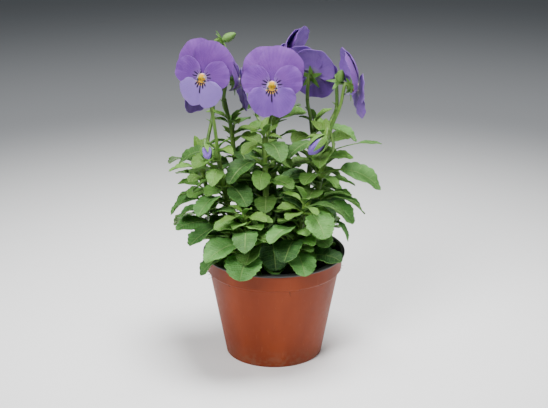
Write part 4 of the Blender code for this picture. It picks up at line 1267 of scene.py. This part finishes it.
def make_soil():
    """A plug of peat up into the collar, with crumbs and fibres lying on it."""
    step_z = POT_HEIGHT - COLLAR_HEIGHT
    floor = BASE_CHANNEL + POT_WALL + 0.0002
    side = pot_radius(step_z) - POT_WALL - 0.0005
    profile = [(0.0, floor), (POT_BASE_RADIUS - POT_WALL - 0.0004, floor), (side, step_z - 0.0020)]
    profile += [(SOIL_EDGE * reach, SOIL_TOP) for reach in np.linspace(1, 0, SOIL_RINGS)]
    points, faces = turned(profile, SOIL_SEGMENTS)
    top = points[:, 2] >= SOIL_TOP - 1e-6
    points[top, 2] = soil_height(points[top, 0], points[top, 1])
    finish = peat()
    skin = Skin("top")
    skin.add(points, faces, top=top.astype(float))
    ride(skin.piece("peat_plug", [finish], sharp=70), "soil", "soil")
    litter = skin.piece("litter_ground", [finish])
    ride(grown(litter, litter_growth(crumb_brown()), "peat_crumbs"), "soil")


def litter_growth(material):
    """Crumbs and short fibres scattered over the soil's top."""
    inputs = {
        "Crumbs": ("NodeSocketFloat", 360000.0),
        "Fibres": ("NodeSocketFloat", 60000.0),
        "Crumb Size": ("NodeSocketFloat", 0.00060),
        "Fibre Length": ("NodeSocketFloat", 0.0046),
    }
    tree = Growth("peat_litter", inputs)
    top = tree.named("top").math("GREATER_THAN", 0.5)
    scattered = []
    ball = tree.node("GeometryNodeMeshIcoSphere", {}, {"Radius": tree.given("Crumb Size"), "Subdivisions": 1})
    rod = tree.node(
        "GeometryNodeMeshCone", {},
        {
            "Vertices": 5, "Side Segments": 2, "Radius Top": 0.00008, "Radius Bottom": 0.00022,
            "Depth": tree.given("Fibre Length"),
        },
    )
    flat = (math.radians(70), -math.pi, -math.pi)
    shapes = (
        ("Crumbs", ball, (-math.pi,) * 3, (math.pi,) * 3, (0.5, 0.5, 0.4), (1.7, 1.3, 1.0), 5),
        ("Fibres", rod, flat, (math.radians(110), math.pi, math.pi), (0.7, 0.7, 0.5), (1.3, 1.3, 1.4), 9),
    )
    for label, shape, turn_low, turn_high, size_low, size_high, seed in shapes:
        spread = {"Mesh": tree.given("Source"), "Selection": top, "Density": tree.given(label), "Seed": seed}
        spots = tree.node("GeometryNodeDistributePointsOnFaces", {}, spread)
        angles = tree.random(turn_low, turn_high, seed + 1)
        turn = tree.node("FunctionNodeEulerToRotation", {}, {"Euler": angles})
        placed = {
            "Points": spots, "Instance": shape, "Rotation": turn,
            "Scale": tree.random(size_low, size_high, seed + 2),
        }
        scattered.append(tree.node("GeometryNodeInstanceOnPoints", {}, placed))
    joined = tree.tree.nodes.new("GeometryNodeJoinGeometry")
    for part in scattered:
        tree.tree.links.new(part.socket, joined.inputs[0])
    return tree.close(Wire(tree, joined.outputs[0]), material)


# Green pieces


def stem_growth(material):
    """Ridged stalks swept along lines that carry their own girth."""
    inputs = {
        "Sides": ("NodeSocketInt", 16),
        "Ridges": ("NodeSocketFloat", 4.0),
        "Ridge Height": ("NodeSocketFloat", 0.10),
    }
    tree = Growth("ridged_stalk", inputs)
    lines = tree.node("GeometryNodeMeshToCurve", {}, {"Mesh": tree.given("Source")})
    circle = {"Resolution": tree.given("Sides"), "Radius": 1.0}
    ring = tree.node("GeometryNodeCurvePrimitiveCircle", {}, circle)
    spot = tree.node("GeometryNodeInputPosition")
    x = tree.node("ShaderNodeSeparateXYZ", {}, {"Vector": spot}, output="X")
    angle = x.output("Y").math("ARCTAN2", x)
    height = (angle * tree.given("Ridges")).sine() * tree.given("Ridge Height") + 1
    wavy = tree.node("ShaderNodeVectorMath", {"operation": "SCALE"}, {"Vector": spot, "Scale": height})
    profile = tree.node("GeometryNodeSetPosition", {}, {"Geometry": ring, "Position": wavy})
    sweep = {"Curve": lines, "Profile Curve": profile, "Scale": tree.named("girth"), "Fill Caps": True}
    return tree.close(tree.node("GeometryNodeCurveToMesh", {}, sweep), material)


def add_blade(skin, leaf, steps, young):
    """A toothed blade, grooved along its midrib and puckered between its side veins."""
    rng = np.random.default_rng(leaf.seed)
    teeth, per_tooth, columns = steps
    s, t = np.meshgrid(np.linspace(0, 1, teeth * per_tooth + 1), np.linspace(1, -1, columns), indexing="ij")
    edge = np.abs(t)
    share = s + VEIN_LEAD * edge * s * (1 - s)
    swell = np.abs(np.sin(math.pi * teeth * s))
    half = blade_body(leaf, share) * (1 - TOOTH_DEPTH * (1 - swell) * edge**3)
    half = np.maximum(half, 0.0002 + 0.0006 * (1 - s))
    place, _, side, normal = leaf_spine(leaf, leaf.petiole + leaf.length * share)
    scale = leaf.width / 0.02
    lift = half * (leaf.cup * t**2 - 0.06 * (1 - edge))
    lift = lift - 0.00045 * scale * np.exp(-((half * t / 0.0007) ** 2)) * (1 - s)
    lift = lift + 0.00050 * scale * swell * np.sqrt(edge) * (1 - edge)
    phase = rng.uniform(0, 2 * math.pi, 2)
    wave = np.sin(2 * math.pi * 1.7 * s + np.where(t > 0, phase[0], phase[1]))
    lift = lift + 0.045 * leaf.width * wave * edge**2 * s * (1 - s) * 4
    lift = lift + 0.00025 * scale * (swell - 0.5) * edge**4
    grid = place + side * (half * t)[..., None] + normal * lift[..., None]
    thin = LEAF_THICK * (1 - 0.45 * edge**2) * min(1.0, 0.6 + scale * 0.4)
    points, faces, looks = shell(grid, thin)
    # Tone: random from leaf to leaf, and lower the nearer the blade's tip lies to the pot's middle, which is
    # painted shade on the inner leaves
    outward = min(1.0, float(np.hypot(*place[-1, columns // 2, :2])) / SHADE_FREE_REACH)
    tone = float(np.clip(rng.normal(-0.34 + 0.86 * outward, 0.29), 0, 1))
    skin.add(points, faces, looks, across=t, ribs=s * teeth, tone=tone, young=young)


def petiole_strand(leaf, tone):
    """The leaf's stalk, run a little way under the blade."""
    runs = np.linspace(0, leaf.petiole + leaf.length * 0.06, PETIOLE_STEPS)
    place, _, _, normal = leaf_spine(leaf, runs)
    girth = PETIOLE_RADIUS * min(1.0, leaf.width / 0.014) * np.linspace(1.15, 0.72, PETIOLE_STEPS)
    place = place - normal * (np.linspace(0, 1, PETIOLE_STEPS) ** 4)[:, None] * girth[:, None] * 0.5
    return place, girth, tone


def add_ribbon(skin, base, out, across, length, width, bend, rows=7, young=0.8, thick=0.00045):
    """A narrow pointed lobe: stipule, bract or sepal. It is widest at three tenths and bends as it goes."""
    s, t = np.meshgrid(np.linspace(0, 1, rows), np.linspace(1, -1, 3), indexing="ij")
    half = np.maximum(width / 2 * np.sin(math.pi * (0.12 + 0.88 * s) ** 0.72) ** 0.85, 0.00012)
    normal = np.cross(across, out)
    lift = bend * length * s**2 + 0.18 * half * t**2
    grid = base + out * (length * s)[..., None] + across * (half * t)[..., None] + normal * lift[..., None]
    points, faces, looks = shell(grid, thick * (1 - 0.4 * s))
    skin.add(points, faces, looks, across=t * 0.9, ribs=s * 3, tone=0.5, young=young)


def add_stipules(skin, leaf):
    """The pair of cut leafy lobes where a leaf leaves the stem."""
    rng = np.random.default_rng(leaf.seed + 7)
    size = rng.uniform(0.0085, 0.0115) * min(1.0, 0.55 + leaf.length / 0.05)
    for sign in (-1, 1):
        azimuth = leaf.azimuth + sign * rng.uniform(50, 68)
        rise = rng.uniform(24, 46)
        lobes = ((0, 0, 1.0, 0.40), (36, 6, 0.58, 0.24), (-32, 10, 0.50, 0.22))
        for turn, tip, reach, breadth in lobes:
            out = towards(azimuth + sign * turn, rise + tip)
            across = unit(np.cross(out, UP))
            length = size * reach
            bend = rng.uniform(-0.30, -0.05)
            add_ribbon(skin, leaf.root + out * 0.0004, out, across, length, size * breadth, bend)


def spoke_at(right, up, angle):
    """The direction away from a flower's middle at an angle from its top, and the one across that."""
    return right * math.sin(angle) + up * math.cos(angle), up * math.sin(angle) - right * math.cos(angle)


def add_sepals(skin, head):
    """Five pointed sepals spread behind a flower or a pod, each with a short lobe towards the stalk."""
    right, up, out = head_frame(head)
    rng = np.random.default_rng(len(head.name) + int(head.heading) % 97)
    size = head.size
    middle = np.array(head.centre) + out * SEPAL_DEPTH * size
    for angle in SEPAL_ANGLES:
        spoke, across = spoke_at(right, up, math.radians(angle + rng.uniform(-6, 6)))
        lean = rng.uniform(0.02, 0.10)
        ray = unit(spoke - out * lean)
        add_ribbon(
            skin, middle + spoke * 0.0006 * size, ray, across, (SEPAL_REACH - 0.0006) * size,
            SEPAL_WIDTH * 1.25 * size, 0.10, rows=9, young=0.55, thick=SEPAL_THICK,
        )
        lobe = unit(spoke * 0.75 - out * 0.8)
        base = middle - out * 0.0002
        add_ribbon(skin, base, lobe, across, 0.0034 * size, 0.0022 * size, 0.15, rows=5, young=0.7)


def add_shut_sepals(skin, head):
    """Five sepals bowed round the base of a bud."""
    right, up, out = head_frame(head)
    reach = np.array([0.0012, 0.0031, 0.0041, 0.0044, 0.0041, 0.0034])
    depth = np.array([-0.0030, -0.0010, 0.0012, 0.0035, 0.0058, 0.0080])
    width = np.array([0.35, 0.85, 1.0, 0.85, 0.5, 0.08]) * SEPAL_WIDTH * 0.62
    for angle in np.radians(SEPAL_ANGLES):
        spoke, across = spoke_at(right, up, angle)
        s, t = np.meshgrid(np.arange(6), np.linspace(1, -1, 3), indexing="ij")
        away = (reach[s] - 0.25 * width[s] * t**2)[..., None]
        grid = np.array(head.centre) + (
            spoke * away + out * depth[s][..., None] + across * (width[s] * t)[..., None]
        ) * head.size
        points, faces, looks = shell(grid, SEPAL_THICK)
        skin.add(points, faces, looks, across=t * 0.9, ribs=s * 0.5, tone=0.5, young=0.6)


def furled_points(bud):
    """An ovoid of furled petals: ridges that wind towards a pointed tip."""
    radius, depth = np.array(BUD_PROFILE).T
    curve = smooth_path(np.column_stack([radius, depth, 0 * depth]), BUD_ROWS)
    back = POD_BACK if bud.green else 0.0
    profile = [(0.0, curve[0, 1] - 0.0003), *curve[:, :2], (0.0, curve[-1, 1] + 0.0006)]
    points, faces = turned(profile, BUD_SIDES)
    angle = np.arctan2(points[:, 1], points[:, 0])
    wind = 0.0 if bud.green else 190.0
    lobes = 1 + (0.05 if bud.green else 0.10) * np.sin(3 * angle - wind * points[:, 2])
    points[:, :2] *= lobes[:, None]
    local = (points - (0, 0, back)) * bud.size
    return in_frame(bud.centre, head_frame(bud), local), faces, np.degrees(angle), points[:, 2] / MILLIMETRE


def stalk_strand(head):
    """A flower's stalk, swelling into its receptacle."""
    line = stalk_path(head, STALK_STEPS)
    top = in_frame(head.centre, head_frame(head), (0, 0, (SEPAL_DEPTH - 0.0002) * head.size))
    neck = [PEDUNCLE_RADIUS * 1.1, 0.0015 * head.size, 0.0018 * head.size]
    girth = np.r_[np.full(STALK_STEPS - len(neck), PEDUNCLE_RADIUS), neck]
    return np.vstack([line, top]), np.r_[girth, RECEPTACLE_RADIUS * 0.8 * head.size], 0.12


def add_bracts(skin, head):
    """Two tiny bracts a little over half-way along a flower's stalk."""
    line = stalk_path(head, STALK_RODS)
    for at, turn in BRACTS:
        out = unit(towards(turn + head.heading, 40))
        across = unit(np.cross(out, UP))
        add_ribbon(skin, line[at], out, across, 0.0042, 0.0011, -0.1, rows=5)


def stem_strand(shoot, leaves):
    """The main stem, a little swollen where its leaves leave it."""
    path = stem_path(shoot, STEM_STEPS)
    share = np.linspace(0, 1, STEM_STEPS)
    girth = shoot.girth * np.linspace(1, STEM_TOP_SHARE, STEM_STEPS)
    for leaf in leaves:
        girth = girth * (1 + 0.16 * np.exp(-(((share - leaf.share) / 0.012) ** 2)))
    tone = 0.10 + 0.35 * np.clip(1 - share / 0.25, 0, 1)
    return path, girth, tone


def make_shoot(index, plans, finishes, growth):
    """Blades, stipules and sepals of one shoot as one skin, and all its stalks as another."""
    shoot = SHOOTS[index]
    large, medium, tips = ([leaf for leaf in plan if leaf.shoot == index] for plan in plans)
    heads = [head for head in BLOOMS + BUDS if head.shoot == index]
    skin = Skin("across", "ribs", "tone", "young")
    for leaf in large:
        add_blade(skin, leaf, LARGE_STEPS, 0.4 * max(0.0, leaf.share - 0.5))
        add_stipules(skin, leaf)
    for leaf in medium:
        add_blade(skin, leaf, MEDIUM_STEPS, 0.15 + 0.5 * leaf.share**2)
    for leaf in tips:
        add_blade(skin, leaf, TIP_STEPS, 0.8)
    for head in heads:
        add_bracts(skin, head)
        if head in BLOOMS or head.green:
            add_sepals(skin, head)
        else:
            add_shut_sepals(skin, head)
        if head in BUDS and head.green:
            points, faces, _, _ = furled_points(head)
            skin.add(points, faces, 1, across=1.0, ribs=0.0, tone=0.6, young=0.8)
    number = number_of(shoot)
    ride(skin.piece(f"leaves_{number}", finishes), "shoot", shoot.name)
    strands = [stem_strand(shoot, large)]
    strands += [stalk_strand(head) for head in heads]
    for plan, tone in zip((large, medium, tips), PETIOLE_TONES):
        strands += [petiole_strand(leaf, tone) for leaf in plan]
    ride(grown(strands_object(strands, "strands"), growth, f"stems_{number}"), "shoot", shoot.name)


# Flowers


def bent_petal(petal, bloom):
    """The petal with this flower's own curl and waves; a pair curls alike, so that neither cuts the other."""
    low, high = PETAL_FLEX[PETAL_KIND[petal.name]]
    rng = np.random.default_rng(int(abs(bloom.heading)) * 5 + int(PETAL_KIND[petal.name]))
    return petal._replace(
        curl=petal.curl + rng.uniform(low, high),
        ruffle=petal.ruffle * rng.uniform(1.3, 1.9),
    )


def add_petal(skin, bloom, petal, pale):
    """A ruffled petal, pleated along its veins and thin at its rim."""
    rng = np.random.default_rng(int(bloom.heading * 7 + petal.angle) % 100003)
    petal = bent_petal(petal, bloom)
    spaced = np.linspace(-1, 1, PETAL_COLUMNS)
    spaced = 0.45 * spaced + 0.55 * np.sin(spaced * math.pi / 2)
    angles = spaced * PETAL_REACH * petal.spread
    rho, theta = np.meshgrid(np.linspace(0, 1, PETAL_ROWS), angles, indexing="ij")
    local = petal_point(bloom, petal, rho, theta) / bloom.size
    turn = np.radians(theta)
    a, b, c = rng.uniform(0, 2 * math.pi, 3)
    uneven = 1 + (0.010 * np.sin(turn * 7 + a) + 0.008 * np.sin(turn * 15 + b)) * rho**2
    local[..., :2] *= uneven[..., None]
    ruffle = 0.00034 * np.sin(turn * 12 + b) + 0.00020 * np.sin(turn * 23 + c)
    pleats = 0.00007 * np.cos(turn * 2 * math.pi / math.radians(7.0)) * rho * (1.4 - rho)
    local[..., 2] += ruffle * rho**4 + pleats
    if petal.name == "lower":
        local[..., 2] -= 0.0008 * np.exp(-((theta / 7) ** 2)) * np.sqrt(rho)
    thick = PETAL_RIM_THICK + (PETAL_THICK - PETAL_RIM_THICK) * (1 - rho**2)
    grid = in_frame(bloom.centre, head_frame(bloom), local[:, ::-1] * bloom.size)
    points, faces, looks = shell(grid, thick[:, ::-1])
    ray = np.hypot(local[..., 0], local[..., 1]) / MILLIMETRE
    around = np.degrees(np.arctan2(local[..., 0], local[..., 1])) - petal.angle
    marks = {"turn": (around + 180) % 360 - 180, "fan": theta, "ray": ray, "rim": rho}
    flipped = {mark: value[:, ::-1] for mark, value in marks.items()}
    skin.add(points, faces, looks, kind=PETAL_KIND[petal.name], pale=pale, **flipped)


def make_bloom(bloom, pale, finishes, spur_growth, beard, style):
    """Petals and hub, spur, style and beards of one flower."""
    number = number_of(bloom)
    axes = head_frame(bloom)
    skin = Skin("turn", "fan", "ray", "rim", "kind", "pale")
    for petal in PETALS:
        add_petal(skin, bloom, petal, pale)
    points, faces = turned(HUB_PROFILE, ROUND_SIDES, looped=True)
    ray = np.hypot(points[:, 0], points[:, 1]) / MILLIMETRE
    skin.add(in_frame(bloom.centre, axes, points * bloom.size), faces, 2, ray=ray)
    ride(skin.piece(f"petals_{number}", finishes), "corolla", f"corolla_{number}")
    line = smooth_path(in_frame(bloom.centre, axes, np.array(SPUR_LINE) * bloom.size), SPUR_STEPS)
    shares = np.linspace(0, 1, SPUR_STEPS)
    girth = np.interp(shares, np.linspace(0, 1, len(SPUR_GIRTHS)), SPUR_GIRTHS) * bloom.size
    spur = strands_object([(line, girth, 0.0)], "spur_line")
    spur = grown(spur, spur_growth, f"spur_{number}", **{"Ridge Height": 0.0})
    ride(spur, "corolla", f"corolla_{number}")
    make_style(bloom, axes, number, style)
    tufts = grown(beard_roots(bloom, axes), beard, f"beard_{number}")
    ride(tufts, "corolla")


def make_style(bloom, axes, number, finish):
    """The knobbed style that fills the throat, with a hollow low on its front."""
    points, faces = turned([np.array(ring) for ring in rounded(STYLE_PROFILE, 0.0003, 3)], ROUND_SIDES)
    # The hollow's depth: it dents the knob and, as the hollow mark, carries the painted shade in it
    depth = np.exp(-((np.linalg.norm(points - STYLE_HOLLOW, axis=1) / STYLE_HOLLOW_RADIUS) ** 2))
    high = points[:, 1] / MILLIMETRE
    points[:, 2] -= 0.0007 * depth
    knob = Skin("high", "hollow")
    knob.add(in_frame(bloom.centre, axes, points * bloom.size), faces, high=high, hollow=depth)
    ride(knob.piece(f"style_{number}", [finish]), "eye", f"eye_{number}")


def beard_roots(bloom, axes):
    """Roots of the white hairs in two tufts beside the throat, each with its aim."""
    rng = np.random.default_rng(int(bloom.heading) % 89 + 5)
    places, aims = [], []
    for sign in (-1, 1):
        for _ in range(BEARD_HAIRS // 2):
            across, high = rng.uniform(1.9, 2.7), rng.uniform(0.3, 1.5)
            places.append((sign * across, high, 2.1 + 0.1 * across))
            aims.append((-sign * rng.uniform(0.1, 0.9), rng.uniform(-0.7, 0.3), rng.uniform(0.4, 1.0)))
    mesh = bpy.data.meshes.new("beard_roots")
    spots = in_frame(bloom.centre, axes, np.array(places) * MILLIMETRE * bloom.size)
    mesh.from_pydata(spots.tolist(), [], [])
    layer = mesh.attributes.new("aim", "FLOAT_VECTOR", "POINT")
    layer.data.foreach_set("vector", (np.array(aims) @ np.array(axes)).ravel().astype(np.float32))
    return linked("beard_roots", mesh)


def beard_growth(material):
    """A short tapered hair at each root, along its aim."""
    inputs = {"Hair Length": ("NodeSocketFloat", 0.0011), "Hair Radius": ("NodeSocketFloat", 0.00013)}
    tree = Growth("petal_beard", inputs)
    cone = {
        "Vertices": 5, "Side Segments": 1, "Radius Top": 0.00004, "Radius Bottom": tree.given("Hair Radius"),
        "Depth": tree.given("Hair Length"),
    }
    hair = tree.node("GeometryNodeMeshCone", {}, cone)
    vector = tree.named("aim", "FLOAT_VECTOR")
    aim = tree.node("FunctionNodeAlignRotationToVector", {"axis": "Z"}, {"Vector": vector})
    roots = tree.node("GeometryNodeMeshToPoints", {}, {"Mesh": tree.given("Source")})
    placed = {
        "Points": roots, "Instance": hair, "Rotation": aim,
        "Scale": tree.random((0.8, 0.8, 0.6), (1.1, 1.1, 1.2), 3),
    }
    return tree.close(tree.node("GeometryNodeInstanceOnPoints", {}, placed), material)


def make_bud(bud, finish):
    skin = Skin("turn", "ray")
    points, faces, turn, rise = furled_points(bud)
    skin.add(points, faces, turn=turn, ray=rise)
    ride(skin.piece(f"furled_petals_{number_of(bud)}", [finish]), "bud", bud.name)


# Stage, light and camera


def make_stage():
    """A pale floor that sweeps up into a wall all round, with painted shade that darkens it with distance as
    the light falls off.
    """
    finish = Finish("studio_sweep")
    spot = finish.node("ShaderNodeSeparateXYZ", {}, {"Vector": finish.place()}, output="X")
    reach = (spot * spot + spot.output("Y") * spot.output("Y")) ** 0.5 + spot.output("Z")
    # Painted shade: pale near the pot, darker with distance and darkest on the far wall
    painted_falloff = finish.mix(reach.ease(0.10, 0.56), (0.92, 0.92, 0.92), (0.140, 0.146, 0.153))
    painted_falloff = finish.mix(reach.ease(0.45, 1.05), painted_falloff, (0.025, 0.029, 0.033))
    material = finish.surface(painted_falloff, 0.75)
    points, faces = turned(FLOOR_PROFILE, FLOOR_SIDES)
    skin = Skin()
    skin.add(points, faces)
    skin.piece("studio_floor", [material])


def make_lights():
    for name, place, size, power in SOFTBOXES:
        light = bpy.data.lights.new(name, "AREA")
        light.shape = "SQUARE"
        light.size = size
        light.energy = power
        lamp = linked(name, light)
        lamp.location = place
        lamp.rotation_euler = (Vector(place) - Vector(LIGHT_AIM)).to_track_quat("Z", "Y").to_euler()
    world = bpy.data.worlds.new("studio_air")
    world.use_nodes = True
    sockets = world.node_tree.nodes["Background"].inputs
    sockets["Color"].default_value = AIR_COLOUR
    sockets["Strength"].default_value = AIR_STRENGTH
    bpy.context.scene.world = world


def make_camera():
    lens = bpy.data.cameras.new("camera")
    lens.sensor_fit = "VERTICAL"
    lens.sensor_height = SENSOR_HEIGHT
    lens.lens = SENSOR_HEIGHT * CAMERA_DISTANCE / FRAME_HEIGHT
    camera = linked("camera", lens)
    back = Vector(towards(0, CAMERA_ELEVATION).tolist())
    camera.location = Vector(CAMERA_AIM) + back * CAMERA_DISTANCE
    camera.rotation_euler = back.to_track_quat("Z", "Y").to_euler()
    bpy.context.scene.camera = camera


def main():
    make_stage()
    make_lights()
    make_camera()
    make_pot()
    make_soil()
    thicket = Thicket()
    leaves = plan_leaves(thicket)
    medium, tips = plan_small_leaves(thicket)
    greens = [leaf_top(), leaf_back()]
    stalks = stem_growth(stem_green())
    for index in range(len(SHOOTS)):
        make_shoot(index, (leaves, medium, tips), greens, stalks)
    back = petal_back()
    petals = [petal_face(), back, throat_yellow()]
    spur_growth = stem_growth(back)
    beard, style = beard_growth(beard_white()), style_yellow()
    for bloom, pale in zip(BLOOMS, PALE_LOWER_PETAL):
        make_bloom(bloom, pale, petals, spur_growth, beard, style)
    furled = furled_violet()
    for bud in BUDS:
        if not bud.green:
            make_bud(bud, furled)


main()
